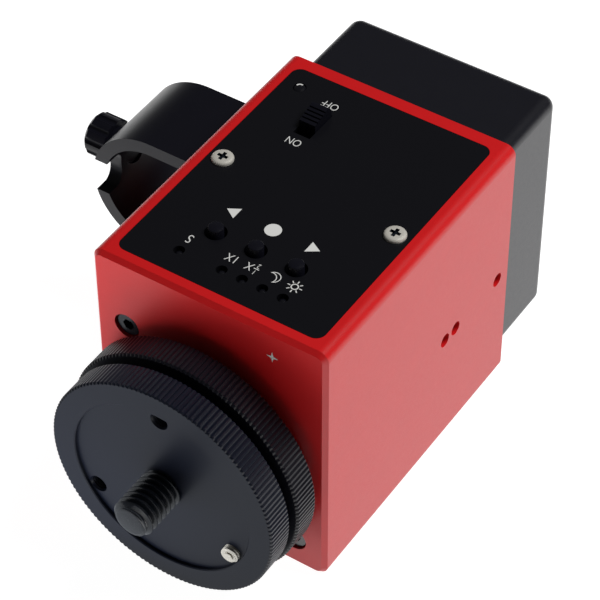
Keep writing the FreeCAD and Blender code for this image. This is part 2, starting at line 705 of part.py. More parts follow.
def make_bearing(name, axis, at, width, bore, outside, ball, count):
    """Ball bearing: outer ring, inner ring and balls as three nodes."""
    start = list(at)
    index = "XYZ".index(axis)
    start[index] = "(%s) - (%s)/2" % (at[index], width)
    middle = "((%s) + (%s))/2" % (bore, outside)
    race = "(%s)*0.55" % ball
    groove = []
    for word in ("outer", "inner"):
        torus = doc.addObject("Part::Torus", "%s_%s_race" % (name, word))
        bind(torus, Radius1=middle, Radius2="%s + run_gap" % ball)
        groove.append(place(torus, *at, axis))
    outer = tube(name + "_outer_blank", "%s - fit_gap" % outside, "%s + %s" % (middle, race), width, *start, axis)
    inner = tube(name + "_inner_blank", "%s - %s" % (middle, race), "%s + fit_gap" % bore, width, *start, axis)
    rings = (cut(name + "_outer", outer, [groove[0]]), cut(name + "_inner", inner, [groove[1]]))
    balls = []
    for n in range(count):
        sphere = doc.addObject("Part::Sphere", "%s_ball_%d" % (name, n))
        bind(sphere, Radius=ball)
        turn = "(%s)*cos(%g)" % (middle, 360.0 * n / count)
        lift = "(%s)*sin(%g)" % (middle, 360.0 * n / count)
        spot = list(at)
        free = [i for i in range(3) if i != index]
        spot[free[0]] = "(%s) + %s" % (at[free[0]], turn)
        spot[free[1]] = "(%s) + %s" % (at[free[1]], lift)
        balls.append(place(sphere, *spot))
    return rings[0], rings[1], balls


def make_bearings():
    """Two thin bearings of the drive sleeve and two small ones of the worm."""
    for word, along in (("front", INNER_FRONT + " - bearing_width/2"), ("rear", "frame_rear + bearing_width/2")):
        name = word + "_bearing"
        outer, inner, balls = make_bearing(name, "Y", ("0", along, "axis_height"), "bearing_width",
                                           "sleeve_radius", "bearing_radius", "ball_radius", 14)
        node(name + "_outer", outer)
        node(name + "_inner", inner)
        gather(name + "_balls", balls)
    sets = [make_bearing("worm_bearing_" + word, "X", (at, WORM_Y, WORM_Z), "4", "2", "4.5", "0.6", 8)
            for word, at in (("left", "-15.5"), ("right", "15.5"))]
    gather("worm_bearing_outers", [one[0] for one in sets])
    gather("worm_bearing_inners", [one[1] for one in sets])
    gather("worm_bearing_balls", [ball for one in sets for ball in one[2]])


def make_gear_frame():
    """Frame behind the front wall that holds both bearings and the gear train."""
    plate_front = "(%s + seat_gap)" % INNER_FRONT
    front = box("frame_front", ("-24.5", plate_front, "floor_thickness + 0.2"), ("49", "4", "axis_height + 20"))
    deep = "frame_rear + bearing_width - %s" % plate_front
    rails = [box("frame_rail_" + word, (left, plate_front, "floor_thickness + 0.2"), ("10.4", deep, "7"))
             for word, left in (("right", "14"), ("left", "-24.4"))]
    rear = box("frame_rear_plate", ("-16.4", "frame_rear", "boss_top + 0.4"),
               ("32.8", "bearing_width", "axis_height + 13.4"))
    opening = rod("frame_front_hole", "bearing_radius - 1.5", "4", "0", plate_front, "axis_height", "Y")
    seat = rod("frame_rear_seat", "bearing_radius + fit_gap", "bearing_width", "0", "frame_rear",
               "axis_height", "Y")
    taps = [rod("frame_tap_%d" % n, "1.5 + fit_gap", "4", across, plate_front, up, "Y")
            for n, (across, up) in enumerate(CAP_SCREWS)]
    whole = join("frame_blank", [front, rear] + rails)
    node("gear_frame", cut("gear_frame", whole, [opening, seat] + taps))
    screws = []
    for n, (across, up) in enumerate(CAP_SCREWS):
        blank = screw("frame_screw_%d_blank" % n, "cap_head_radius", "3", "1.5", "7",
                      (across, FRONT + " + counterbore_depth", up), "Y", 1)
        key = doc.addObject("Part::Prism", "frame_screw_%d_socket" % n)
        key.Polygon = 6
        bind(key, Circumradius="1.44", Height="1.6")
        place(key, across, FRONT + " + counterbore_depth - 3", up, "Y")
        screws.append(cut("frame_screw_%d" % n, blank, [key]))
    gather("frame_screws", screws)


# ---- worm drive ---------------------------------------------------------------------

def make_gear(name, at, axis, teeth, width, bore, tooth_forward):
    """Gear with straight-flanked teeth; either a tooth or a gap is on its local X axis."""
    body = new_body(name, *at, axis)
    tip = "(%s*gear_module/2 + gear_module)" % teeth
    root = "(%s*gear_module/2 - 1.2*gear_module)" % teeth
    pad(body, draw_circle(sketch_on(body, "XY_Plane"), tip), width)
    gap = sketch_on(body, "XY_Plane")
    if tooth_forward:
        gap.AttachmentOffset = FreeCAD.Placement(V(), FreeCAD.Rotation(V(0, 0, 1), 180 / size(teeth)))
    draw_outline(gap, [(root, "-gear_module/2"), (tip + " + 0.1", "-1.35*gear_module"),
                       (tip + " + 0.1", "1.35*gear_module"), (root, "gear_module/2")])
    first = pocket(body, gap, width, reverse=True)
    repeat_round(body, [first], int(size(teeth)))
    hole = draw_circle(sketch_on(body, "XY_Plane"), bore)
    pocket(body, hole, width, reverse=True)
    return body


def make_worm_wheel():
    """Bronze worm wheel on the drive sleeve."""
    body = make_gear("worm_wheel", ("0", "wheel_front", "axis_height"), "Y", "wheel_teeth", "wheel_width",
                     "sleeve_radius + fit_gap", False)
    doc.recompute()
    hub = sketch_on(body, "XY_Plane", "wheel_width - 0.5")
    draw_circle(hub, "sleeve_radius + 3")
    draw_circle(hub, "sleeve_radius + fit_gap")
    pad(body, hub, "3.5")


def make_worm():
    """Single start worm with its long shaft; the thread is right-handed."""
    body = new_body("worm", "0", WORM_Y, WORM_Z, "X")
    core = "worm_pitch_radius - 0.6"
    end = "(worm_length/2 + 0.8)"
    turn_outline(body, [("0", "-18.5"), ("2", "-18.5"), ("2", "-" + end), (core, "-" + end),
                        (core, end), ("2", end), ("2", "gear_plane + gear_width + 0.4"),
                        ("0", "gear_plane + gear_width + 0.4")])
    start = "-7*pi*gear_module"
    profile = sketch_on(body, "XZ_Plane")
    crest = "worm_pitch_radius + gear_module"
    foot = "worm_pitch_radius - 0.9"
    draw_outline(profile, [(foot, start + " - 0.69"), (crest, start + " - 0.18"),
                           (crest, start + " + 0.18"), (foot, start + " + 0.69")])
    helix = body.newObject("PartDesign::AdditiveHelix", "worm_thread")
    helix.Profile = profile
    helix.ReferenceAxis = (profile, ["V_Axis"])
    helix.Mode = 0
    bind(helix, Pitch="pi*gear_module", Height="14*pi*gear_module")
    helix.LeftHanded = False
    helix.Reversed = False


def make_small_gears():
    """Gear on the worm, idler on its stub axle and pinion on the motor's shaft."""
    make_gear("worm_gear", ("gear_plane", WORM_Y, WORM_Z), "X", "small_teeth", "gear_width",
              "2 + fit_gap", True)
    make_gear("idler_gear", ("gear_plane", IDLER_Y, WORM_Z), "X", "idler_teeth", "gear_width",
              "1.5 + run_gap", False)
    make_gear("motor_gear", ("gear_plane", MOTOR_Y, WORM_Z), "X", "small_teeth", "gear_width",
              "1.5 + fit_gap", True)
    node("idler_axle", rod("idler_axle", "1.5", "gear_plane + gear_width + 0.8 - 16.6", "16.6", IDLER_Y,
                           WORM_Z, "X"))
    node("motor_shaft", rod("motor_shaft", "1.5", "gear_plane + gear_width + 0.3 - 15.4", "15.4", MOTOR_Y,
                            WORM_Z, "X"))


def make_worm_carrier():
    """Bridge with two cheeks that hold the worm's bearings above the wheel."""
    front = "(%s + seat_gap + 4)" % INNER_FRONT
    deep = "(%s + 5.2 - %s)" % (WORM_Y, front)
    base = "(%s - 5)" % WORM_Z
    cheeks = [box("carrier_cheek_" + word, (left, front, base), ("4", deep, "12"))
              for word, left in (("right", "13.5"), ("left", "-17.5"))]
    bridge = box("carrier_bridge", ("-17.5", front, base + " + 10"), ("35", deep, "2"))
    bores = [rod("carrier_bore_" + word, "4.5 + fit_gap", "4", left, WORM_Y, WORM_Z, "X")
             for word, left in (("right", "13.5"), ("left", "-17.5"))]
    node("worm_carrier", cut("worm_carrier", join("carrier_blank", cheeks + [bridge]), bores))


def make_motor():
    """Stepper motor with its gearbox on a bracket beside the rear bearing plate."""
    can = rod("motor_can", "motor_radius", "20", "-13", MOTOR_Y, WORM_Z, "X")
    gearbox = rod("motor_gearbox", "motor_radius + 0.5", "9.4", "7", MOTOR_Y, WORM_Z, "X")
    nose = rod("motor_nose", "1.5 + run_gap", "1.2", "15.3", MOTOR_Y, WORM_Z, "X")
    node("stepper_motor", cut("stepper_motor", join("motor_blank", [can, gearbox]), [nose]))
    sheet_metal = box("bracket_sheet", ("16.5", "frame_rear", WORM_Z + " - 9"),
                      ("2", "%s + 9 - frame_rear" % MOTOR_Y, "16"))
    holes = [rod("bracket_hole", "2", "2", "16.5", MOTOR_Y, WORM_Z, "X"),
             rod("bracket_pin_hole", "1.5 + fit_gap", "2", "16.5", IDLER_Y, WORM_Z, "X")]
    node("motor_bracket", cut("motor_bracket", sheet_metal, holes))


# ---- polar scope clamp --------------------------------------------------------------

def make_scope_clamp():
    """Loop on the left side that takes a polar scope, with its finger notch."""
    body = new_body("scope_clamp", CLAMP_X, "clamp_front", "clamp_height")
    outer = sketch_on(body, "XZ_Plane")
    draw_rectangle(outer, "0", "-clamp_radius", "clamp_radius", "clamp_radius")
    pad(body, outer, "clamp_length", reverse=True)
    bow = draw_circle(sketch_on(body, "XZ_Plane"), "clamp_radius")
    pad(body, bow, "clamp_length", reverse=True)
    room = sketch_on(body, "XZ_Plane")
    draw_rectangle(room, "0", "-clamp_bore", "clamp_radius - clamp_base", "clamp_bore")
    pocket(body, room, "clamp_length")
    barrel = draw_circle(sketch_on(body, "XZ_Plane"), "clamp_bore")
    pocket(body, barrel, "clamp_length")
    notch = sketch_on(body, "YZ_Plane", "-clamp_radius - 1")
    draw_rectangle(notch, "-1", "-notch_width/2", "notch_depth", "notch_width/2")
    pocket(body, notch, "clamp_radius", reverse=True)
    deep = size("notch_depth")
    soften(body, "Fillet", "notch_width*0.38",
           lambda e: runs_along(e, V(1, 0, 0)) and abs(e.BoundBox.Center.y - deep) < 1e-4
           and abs(abs(e.BoundBox.Center.z) - size("notch_width") / 2) < 1e-4)
    thread = draw_circle(sketch_on(body, "YZ_Plane", "-clamp_radius - 1"), "thumb_shank + run_gap",
                         "clamp_length/2", "0")
    pocket(body, thread, "clamp_radius", reverse=True)
    pad_seat = draw_circle(sketch_on(body, "YZ_Plane", "-clamp_bore - pad_sink"), "pad_radius + 0.15",
                           "clamp_length/2", "0")
    pocket(body, pad_seat, "clamp_radius - pad_sink", reverse=True)
    for radius, start, depth in (("2.7", "clamp_radius - clamp_base", "1.8"),
                                 ("1.55", "clamp_radius - clamp_base", "clamp_base")):
        holes = sketch_on(body, "YZ_Plane", start)
        for up in CLAMP_SCREWS:
            draw_circle(holes, radius, "clamp_length/2", up + " - clamp_height")
        pocket(body, holes, depth, reverse=True)
    seat = "%s + clamp_radius - clamp_base + 1.8" % CLAMP_X
    gather("clamp_screws", [
        screw("clamp_screw_%d" % n, "2.6", "1.7", "1.5", "clamp_base - 1.8 + side_wall - 0.2",
              (seat, CLAMP_MID, up), "X", 1)
        for n, up in enumerate(CLAMP_SCREWS)])


def make_thumb_screw():
    """Lobed thumb screw through the loop's bow, with the soft pad at its tip."""
    body = new_body("thumb_screw", THUMB_END, CLAMP_MID, "clamp_height", "X")
    collar = "thumb_length - 1.2"
    reach = "(%s - clamp_bore - pad_sink + 0.1 - %s)" % (CLAMP_X, THUMB_END)
    turn_outline(body, [("0", "0"), ("thumb_radius - 0.7", "0"), ("thumb_radius", "0.7"),
                        ("thumb_radius", collar), ("thumb_radius - 1.7", collar),
                        ("thumb_radius - 1.7", "thumb_length"), ("thumb_shank", "thumb_length"),
                        ("thumb_shank", reach), ("0", reach)])
    scallop = draw_circle(sketch_on(body, "XY_Plane"), "0.95", "thumb_radius + 0.35")
    first = pocket(body, scallop, collar, reverse=True)
    repeat_round(body, [first], 10)
    node("clamp_pad", rod("clamp_pad", "pad_radius", "pad_thickness",
                          "%s - clamp_bore - pad_sink + 0.15" % CLAMP_X, CLAMP_MID, "clamp_height", "X"))


# ---- battery box --------------------------------------------------------------------

def make_battery_box():
    """Black plastic box for three cells, open at the back."""
    body = new_body("battery_box", BOX_LEFT, BACK, "box_bottom")
    outline = sketch_on(body, "XY_Plane")
    draw_rectangle(outline, "0", "0", "box_width", "box_depth")
    pad(body, outline, "box_height")
    soften(body, "Fillet", "box_round",
           lambda e: not lies_on(e, "y", 0))
    room = sketch_on(body, "XZ_Plane", "-box_depth")
    draw_rectangle(room, "box_wall", "box_wall", "box_width - box_wall", "box_height - box_wall")
    pocket(body, room, "box_depth - box_front_wall", reverse=True)
    holes = sketch_on(body, "XZ_Plane")
    for across in BOX_SCREWS:
        draw_circle(holes, "1.55", "%s - %s" % (across, BOX_LEFT), "box_height - box_screw_drop")
    pocket(body, holes, "box_front_wall")
    gather("battery_box_screws", [
        screw("battery_box_screw_%d" % n, "2.5", "1.5", "1.5", "box_front_wall + 4.5",
              (across, BACK + " + box_front_wall", BOX_SCREW_Z), "Y", -1)
        for n, across in enumerate(BOX_SCREWS)])


def make_battery_cover():
    """Cover of the battery box; it tips out about its rounded top edge."""
    body = new_body("battery_cover", BOX_LEFT, BOX_BACK + " - cover_thickness", "box_bottom")
    wide = "box_wall + 0.15"
    face = sketch_on(body, "XZ_Plane")
    draw_rectangle(face, wide, wide, "box_width - " + wide.replace("+", "-"), "box_height - box_wall - 0.15")
    pad(body, face, "cover_thickness", reverse=True)
    top = size("box_height") - size("box_wall") - 0.15
    soften(body, "Fillet", "cover_thickness*0.499",
           lambda e: runs_along(e, V(1, 0, 0)) and abs(e.BoundBox.Center.z - top) < 1e-4)


def make_cells():
    """Three AA cells, upright, and the contact plates at their ends."""
    cells = []
    contacts = []
    middle = BACK + " + box_front_wall + cell_radius + 0.4"
    base = "(box_bottom + box_wall + 2.6)"
    for n, step in enumerate(("-1", "0", "1")):
        across = "box_shift + cell_pitch*(%s)" % step
        can = rod("cell_can_%d" % n, "cell_radius", "cell_length", across, middle, base)
        nub = rod("cell_nub_%d" % n, "2.7", "1", across, middle,
                  base + (" + cell_length" if n != 1 else " - 1"))
        cells.append(join("cell_%d" % n, [can, nub]))
        for word, level in (("low", "box_bottom + box_wall"), ("high", "box_bottom + box_height - box_wall - 0.4")):
            contacts.append(box("contact_%s_%d" % (word, n), (across + " - 5", middle + " - 5", level),
                                ("10", "10", "0.4")))
    gather("battery_cells", cells)
    gather("battery_contacts", contacts)


# ---- places that several pieces share -----------------------------------------------

HUB_BACK = "(%s - 0.2)" % RING_BACK
FLANGE_FRONT = "(%s + 0.2)" % RING_BACK
FLANGE_BACK = "(%s - 1)" % FRONT
SLEEVE_END = "(frame_rear + bearing_width + 0.5)"
IDLER_Y = "(%s + %s)" % (WORM_Y, GEAR_STEP)
MOTOR_Y = "(%s + 2*%s)" % (WORM_Y, GEAR_STEP)
BUTTONS = ("-button_pitch", "0", "button_pitch")
LEDS = ("led_alone", "led_first", "led_first + led_pitch", "led_first + 2*led_pitch",
        "led_first + 3*led_pitch")
CAP_SCREWS = [("-cap_screw_offset", "axis_height + cap_screw_offset"),
              ("cap_screw_offset", "axis_height - cap_screw_offset")]
PLATE_SCREWS = [(side + "21.6", up) for side in ("", "-") for up in ("8.9", BOX_SCREW_Z + " - 5.9")]
BOX_SCREWS = ("box_shift - cell_pitch/2", "box_shift + cell_pitch/2")
CLAMP_SCREWS = ("clamp_height - 9", "clamp_height + 9")
DIMPLES = ("10.4", "14.85", "32.9")


def build():
    """Make every piece, check it and write one STEP file for each node."""
    fill_sheet()
    for maker in (make_main_housing, make_rear_plate, make_tripod_insert, make_control_panel,
                  make_panel_screws, make_buttons, make_circuit_board, make_lights, make_power_switch,
                  make_camera_plate, make_plate_fittings, make_clutch, make_spindle, make_drive_sleeve,
                  make_bearings, make_gear_frame, make_worm_wheel, make_worm, make_small_gears,
                  make_worm_carrier, make_motor, make_scope_clamp, make_thumb_screw,
                  make_battery_box, make_battery_cover, make_cells):
        maker()
    doc.recompute()
    for thing in doc.Objects:
        if "Invalid" in thing.State or "Error" in thing.State:
            raise RuntimeError("%s did not compute: %s" % (thing.Name, thing.State))
    for name, piece in PARTS.items():
        if piece.Shape.isNull() or not piece.Shape.isValid():
            raise RuntimeError("%s has no valid shape" % name)
    os.makedirs("parts", exist_ok=True)
    for name, piece in PARTS.items():
        piece.Label = name
        piece.Shape.exportStep("parts/%s.step" % name)


build()
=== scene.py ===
"""Looks of the star tracker mount: finishes, fluted rims, threads, screws and panel markings."""

import logging
import math
from dataclasses import dataclass
from enum import Enum
from typing import Callable, Optional, Sequence

import bmesh
import bpy
from mathutils import Matrix, Vector


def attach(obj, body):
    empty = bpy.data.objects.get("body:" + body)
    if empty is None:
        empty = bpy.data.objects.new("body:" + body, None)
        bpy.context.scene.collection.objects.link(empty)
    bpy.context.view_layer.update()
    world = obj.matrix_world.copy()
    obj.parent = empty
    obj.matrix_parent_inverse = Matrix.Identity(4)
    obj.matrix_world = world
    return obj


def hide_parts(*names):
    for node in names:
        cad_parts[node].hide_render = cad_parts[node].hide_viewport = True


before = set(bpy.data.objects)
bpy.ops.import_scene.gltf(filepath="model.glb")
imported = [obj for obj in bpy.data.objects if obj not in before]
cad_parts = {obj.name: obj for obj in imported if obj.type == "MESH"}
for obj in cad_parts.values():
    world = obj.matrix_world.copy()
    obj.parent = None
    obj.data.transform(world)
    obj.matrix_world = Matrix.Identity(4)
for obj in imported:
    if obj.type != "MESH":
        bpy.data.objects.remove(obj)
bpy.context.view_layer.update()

LOG = logging.getLogger("star_tracker")
MM = 0.001
AXIS_HEIGHT = 29 * MM
INK_LIFT = 0.03 * MM
WELD = 1e-7
HELIX_WELD = 1e-6
FULL_TURN = 2 * math.pi
THIRDS = (90, 210, 330)
COS_60 = 0.5
Pair = tuple[float, float]
Place = tuple[float, float, float]


class Along(Enum):
    """Direction in which a turned piece's own axis points."""

    X = "X"
    Y = "Y"
    Z = "Z"

    def matrix(self, place: Vector) -> Matrix:
        """Matrix that takes a piece's local Z to this direction and moves it to its place.

        Args:
            place: Where the piece's local origin goes, in metres.

        Returns:
            The transform for the piece's vertices.
        """
        turns = {
            Along.X: Matrix.Rotation(math.pi / 2, 4, "Y"),
            Along.Y: Matrix.Rotation(-math.pi / 2, 4, "X"),
            Along.Z: Matrix.Identity(4),
        }
        return Matrix.Translation(place) @ turns[self]


# ---- shader tools -------------------------------------------------------------------

MIX_FACTOR, MIX_FIRST, MIX_SECOND, MIX_RESULT = 0, 6, 7, 2
CLOUDS_PER_METRE = 220.0
CLOUD_DETAIL = 4.0
SMUDGES_PER_METRE = 900.0
SMUDGE = 0.04
GRAIN_DETAIL = 3.0


class Signal:
    """A shader socket that can be used in arithmetic."""

    def __init__(self, graph: "Graph", socket: bpy.types.NodeSocket) -> None:
        """Wrap a socket of a graph."""
        self.graph = graph
        self.socket = socket

    def _maths(self, operation: str, first: object, second: object) -> "Signal":
        """Add one Math node.

        Args:
            operation: The Math node's operation.
            first: Number or signal for its first socket.
            second: Number or signal for its second socket.

        Returns:
            The node's result.
        """
        return self.graph.node("ShaderNodeMath", {"operation": operation}, {0: first, 1: second})

    def __add__(self, other: object) -> "Signal":
        """Sum."""
        return self._maths("ADD", self, other)

    def __radd__(self, other: object) -> "Signal":
        """Sum with the signal on the right."""
        return self._maths("ADD", other, self)

    def __rsub__(self, other: object) -> "Signal":
        """Difference with the signal on the right."""
        return self._maths("SUBTRACT", other, self)

    def __mul__(self, other: object) -> "Signal":
        """Product."""
        return self._maths("MULTIPLY", self, other)

    def __rmul__(self, other: object) -> "Signal":
        """Product with the signal on the right."""
        return self._maths("MULTIPLY", other, self)


class Graph:
    """Node tree of one material."""

    def __init__(self, name: str) -> None:
        """Start a material with only its output and its surface shader."""
        self.material = bpy.data.materials.new(name)
        self.material.use_nodes = True
        self.tree = self.material.node_tree
        self.surface = next(n for n in self.tree.nodes if n.type == "BSDF_PRINCIPLED")

    def node(self, kind: str, settings: dict, inputs: dict, output: object = 0) -> Signal:
        """Add any node.

        Args:
            kind: Blender's name for the node type.
            settings: Attributes that are set before the sockets.
            inputs: Values or signals by socket name or number.
            output: Name or number of the socket to return.

        Returns:
            The chosen output.
        """
        made = self.tree.nodes.new(kind)
        for key, value in settings.items():
            setattr(made, key, value)
        for key, value in inputs.items():
            self.feed(made.inputs[key], value)
        return Signal(self, made.outputs[output])

    def feed(self, socket: bpy.types.NodeSocket, value: object) -> None:
        """Give a socket a constant or link a signal to it."""
        if isinstance(value, Signal):
            self.tree.links.new(value.socket, socket)
        else:
            socket.default_value = value

    def place(self) -> Signal:
        """Object coordinates."""
        return self.node("ShaderNodeTexCoord", {}, {}, "Object")

    def noise(self, scale: float, detail: float = 2.0) -> Signal:
        """Noise on Object coordinates.

        Args:
            scale: Features per metre.
            detail: Octaves of finer noise.

        Returns:
            The noise value, 0 to 1.
        """
        inputs = {"Vector": self.place(), "Scale": scale, "Detail": detail}
        return self.node("ShaderNodeTexNoise", {}, inputs)

    def bump(self, height: Signal, depth: float) -> None:
        """Tilt the surface's normals by a height signal, whose full range is depth metres."""
        inputs = {"Strength": 1.0, "Distance": depth, "Height": height}
        normal = self.node("ShaderNodeBump", {}, inputs)
        self.feed(self.surface.inputs["Normal"], normal)


@dataclass(frozen=True)
class Finish:
    """A finish: one colour, with blasted grain, turned rings or neither."""

    name: str
    colour: tuple[float, float, float]
    rough: float = 0.4
    metallic: float = 0.0
    coat: float = 0.0
    coat_rough: float = 0.1
    specular: float = 0.5
    grain: float = 0.0
    grain_depth: float = 0.0
    tone: float = 0.0
    rings: bool = False

    def material(self) -> bpy.types.Material:
        """Make the material, or return the one already made.

        Returns:
            The material of this finish.
        """
        name = self.name + "_finish"
        known = bpy.data.materials.get(name)
        if known:
            return known
        graph = Graph(name)
        sockets = graph.surface.inputs
        sockets["Base Color"].default_value = (*self.colour, 1.0)
        sockets["Roughness"].default_value = self.rough
        sockets["Metallic"].default_value = self.metallic
        sockets["Coat Weight"].default_value = self.coat
        sockets["Coat Roughness"].default_value = self.coat_rough
        sockets["Specular IOR Level"].default_value = self.specular
        if self.tone:
            self._mottle(graph)
        if self.grain:
            height = self._turned(graph) if self.rings else graph.noise(self.grain, GRAIN_DETAIL)
            graph.bump(height, self.grain_depth)
        return graph.material

    def _mottle(self, graph: Graph) -> None:
        """Vary the colour and the roughness a little, as anodising and moulding do."""
        cloud = graph.noise(CLOUDS_PER_METRE, CLOUD_DETAIL)
        low = tuple(c * (1 - self.tone) for c in self.colour)
        high = tuple(min(1.0, c * (1 + self.tone)) for c in self.colour)
        inputs = {MIX_FACTOR: cloud, MIX_FIRST: (*low, 1.0), MIX_SECOND: (*high, 1.0)}
        colour = graph.node("ShaderNodeMix", {"data_type": "RGBA"}, inputs, MIX_RESULT)
        rough = self.rough - SMUDGE + 2 * SMUDGE * graph.noise(SMUDGES_PER_METRE)
        graph.feed(graph.surface.inputs["Base Color"], colour)
        graph.feed(graph.surface.inputs["Roughness"], rough)

    def _turned(self, graph: Graph) -> Signal:
        """Fine turned rings about the polar axis."""
        inputs = {"Vector": graph.place(), "Location": (0, 0, -AXIS_HEIGHT), "Scale": (1, 0, 1)}
        centre = graph.node("ShaderNodeMapping", {}, inputs)
        radius = graph.node("ShaderNodeVectorMath", {"operation": "LENGTH"}, {0: centre}, "Value")
        wave = graph.node("ShaderNodeMath", {"operation": "SINE"}, {0: radius * self.grain})
        return wave * 0.5 + 0.5


class Look(Enum):
    """The finishes of this mount."""

    RED = Finish(
        "red_anodised", (0.50, 0.0075, 0.009), 0.36, grain=5200, grain_depth=0.00002, tone=0.05
    )
    PLATE = Finish(
        "black_anodised_turned", (0.004, 0.0055, 0.012), 0.36, specular=0.45,
        grain=21000, grain_depth=0.000004, rings=True
    )
    BLACK = Finish(
        "black_anodised", (0.004, 0.004, 0.007), 0.32, specular=0.35,
        grain=6000, grain_depth=0.000012, tone=0.08
    )
    PANEL = Finish("black_gloss_panel", (0.0045, 0.0045, 0.006), 0.30, specular=0.25)
    PLASTIC = Finish(
        "black_satin_plastic", (0.006, 0.006, 0.009), 0.36,
        grain=4500, grain_depth=0.000015, tone=0.08
    )
    KEY = Finish("black_key_plastic", (0.004, 0.004, 0.007), 0.3, specular=0.3)
    LENS = Finish("dark_lens", (0.004, 0.004, 0.006), 0.2)
    # White ink for the printed markings; the same white also paints the power light's highlight
    # arc.
    INK_AND_HIGHLIGHT = Finish("white_ink_and_painted_highlight", (0.60, 0.60, 0.58), 0.5)
    NICKEL = Finish("nickelled_steel", (0.74, 0.71, 0.64), 0.40, 0.5)
    STEEL = Finish("bright_steel", (0.66, 0.65, 0.62), 0.22, 1.0)
    # Dark steel for the stud, the spindle and the inner screws; it also paints shade into the panel
    # screws' cross recesses.
    DARK_STEEL = Finish("blackened_steel_and_painted_shade", (0.007, 0.009, 0.013), 0.22, specular=0.9)
    ALUMINIUM = Finish(
        "milled_aluminium", (0.62, 0.63, 0.65), 0.34, 1.0, grain=3000, grain_depth=0.00001
    )
    BRONZE = Finish("bronze", (0.55, 0.34, 0.14), 0.3, 1.0)
    BOARD = Finish("green_board", (0.01, 0.12, 0.04), 0.4, coat=0.5)
    NYLON = Finish("white_nylon", (0.7, 0.7, 0.66), 0.5)
    SLEEVE = Finish("cell_sleeve", (0.05, 0.11, 0.24), 0.3, coat=0.5)


# ---- mesh tools ---------------------------------------------------------------------


class Piece:
    """One new piece, shaped in a bmesh and dressed in one finish."""

    def __init__(self, name: str) -> None:
        """Start an empty piece."""
        self.name = name
        self.bm = bmesh.new()

    def ring(self, radius: float, height: float, count: int, place: Pair = (0, 0)) -> list:
        """Circle of loose edges in a plane of constant local Z.

        Args:
            radius: Radius in metres.
            height: Local Z in metres.
            count: Number of edges.
            place: Centre in local X and Y.

        Returns:
            The circle's edges.
        """
        at = Matrix.Translation((*place, height))
        made = bmesh.ops.create_circle(self.bm, segments=count, radius=radius, matrix=at)
        return list({e for v in made["verts"] for e in v.link_edges})

    def raise_edges(self, edges: Sequence, shift: Vector, shape: Optional[Callable] = None) -> list:
        """Extrude loose edges and move the new ones.

        Args:
            edges: Edges to extrude.
            shift: Move in metres.
            shape: Optional function that moves each new vertex further.

        Returns:
            The new edges.
        """
        made = bmesh.ops.extrude_edge_only(self.bm, edges=edges)["geom"]
        verts = [g for g in made if isinstance(g, bmesh.types.BMVert)]
        bmesh.ops.translate(self.bm, verts=verts, vec=shift)
        if shape:
            for vert in verts:
                shape(vert)
        return [g for g in made if isinstance(g, bmesh.types.BMEdge)]

    def fill(self, edges: Sequence) -> list:
        """Fill a flat region between loops of edges, leaving the inner ones open."""
        made = bmesh.ops.triangle_fill(self.bm, edges=edges, use_beauty=True)["geom"]
        return [g for g in made if isinstance(g, bmesh.types.BMFace)]

    def turn(self, outline: Sequence[Pair], count: int = 64) -> "Piece":
        """Spin an outline of (radius, height) pairs about local Z.

        Args:
            outline: The points in metres.
            count: Steps in the turn.

        Returns:
            This piece.
        """
        verts = [self.bm.verts.new((radius, 0, height)) for radius, height in outline]
        edges = [self.bm.edges.new(pair) for pair in zip(verts, verts[1:])]
        bmesh.ops.spin(self.bm, geom=verts + edges, cent=(0, 0, 0), axis=(0, 0, 1),
                       angle=FULL_TURN, steps=count, use_merge=True)
        return self

    def finish(self, look: Look, body: str, along: Along = Along.Z,
               place: Sequence[float] = (0, 0, 0), replaces: Sequence[str] = (),
               smooth: float = 35.0) -> bpy.types.Object:
        """Make the object, dress it and let it ride on a body.

        Args:
            look: The finish.
            body: The CAD body that carries it.
            along: Where local Z points.
            place: Local origin's place in metres.
            replaces: CAD nodes that it stands for.
            smooth: Edges flatter than this many degrees are shaded smooth.

        Returns:
            The object.
        """
        bm = self.bm
        bmesh.ops.remove_doubles(bm, verts=bm.verts, dist=WELD)
        bmesh.ops.transform(bm, matrix=along.matrix(Vector(place)), verts=bm.verts)
        bmesh.ops.recalc_face_normals(bm, faces=bm.faces)
        for edge in bm.edges:
            edge.smooth = edge.calc_face_angle(math.pi) < math.radians(smooth)
        for face in bm.faces:
            face.smooth = True
        mesh = bpy.data.meshes.new(self.name)
        bm.to_mesh(mesh)
        bm.free()
        thing = bpy.data.objects.new(self.name, mesh)
        bpy.context.scene.collection.objects.link(thing)
        thing.data.materials.append(look.value.material())
        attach(thing, body)
        if replaces:
            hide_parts(*replaces)
        return thing


def round_to(radius: float, height: float) -> Callable:
    """Function that puts a vertex on a circle about local Z.

    Args:
        radius: The circle's radius.
        height: The circle's height.

    Returns:
        The function.
    """

    def move(vert: bmesh.types.BMVert) -> None:
        """Put one vertex on the circle."""
        scale = radius / math.hypot(vert.co.x, vert.co.y)
        vert.co = Vector((vert.co.x * scale, vert.co.y * scale, height))

    return move


def dress(look: Look, *nodes: str) -> None:
    """Give CAD nodes a finish.

    Args:
        look: The finish.
        nodes: Names of the CAD nodes.
    """
    for name in nodes:
        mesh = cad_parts[name].data
        mesh.materials.clear()
        mesh.materials.append(look.value.material())


# ---- sub-assemblies -----------------------------------------------------------------


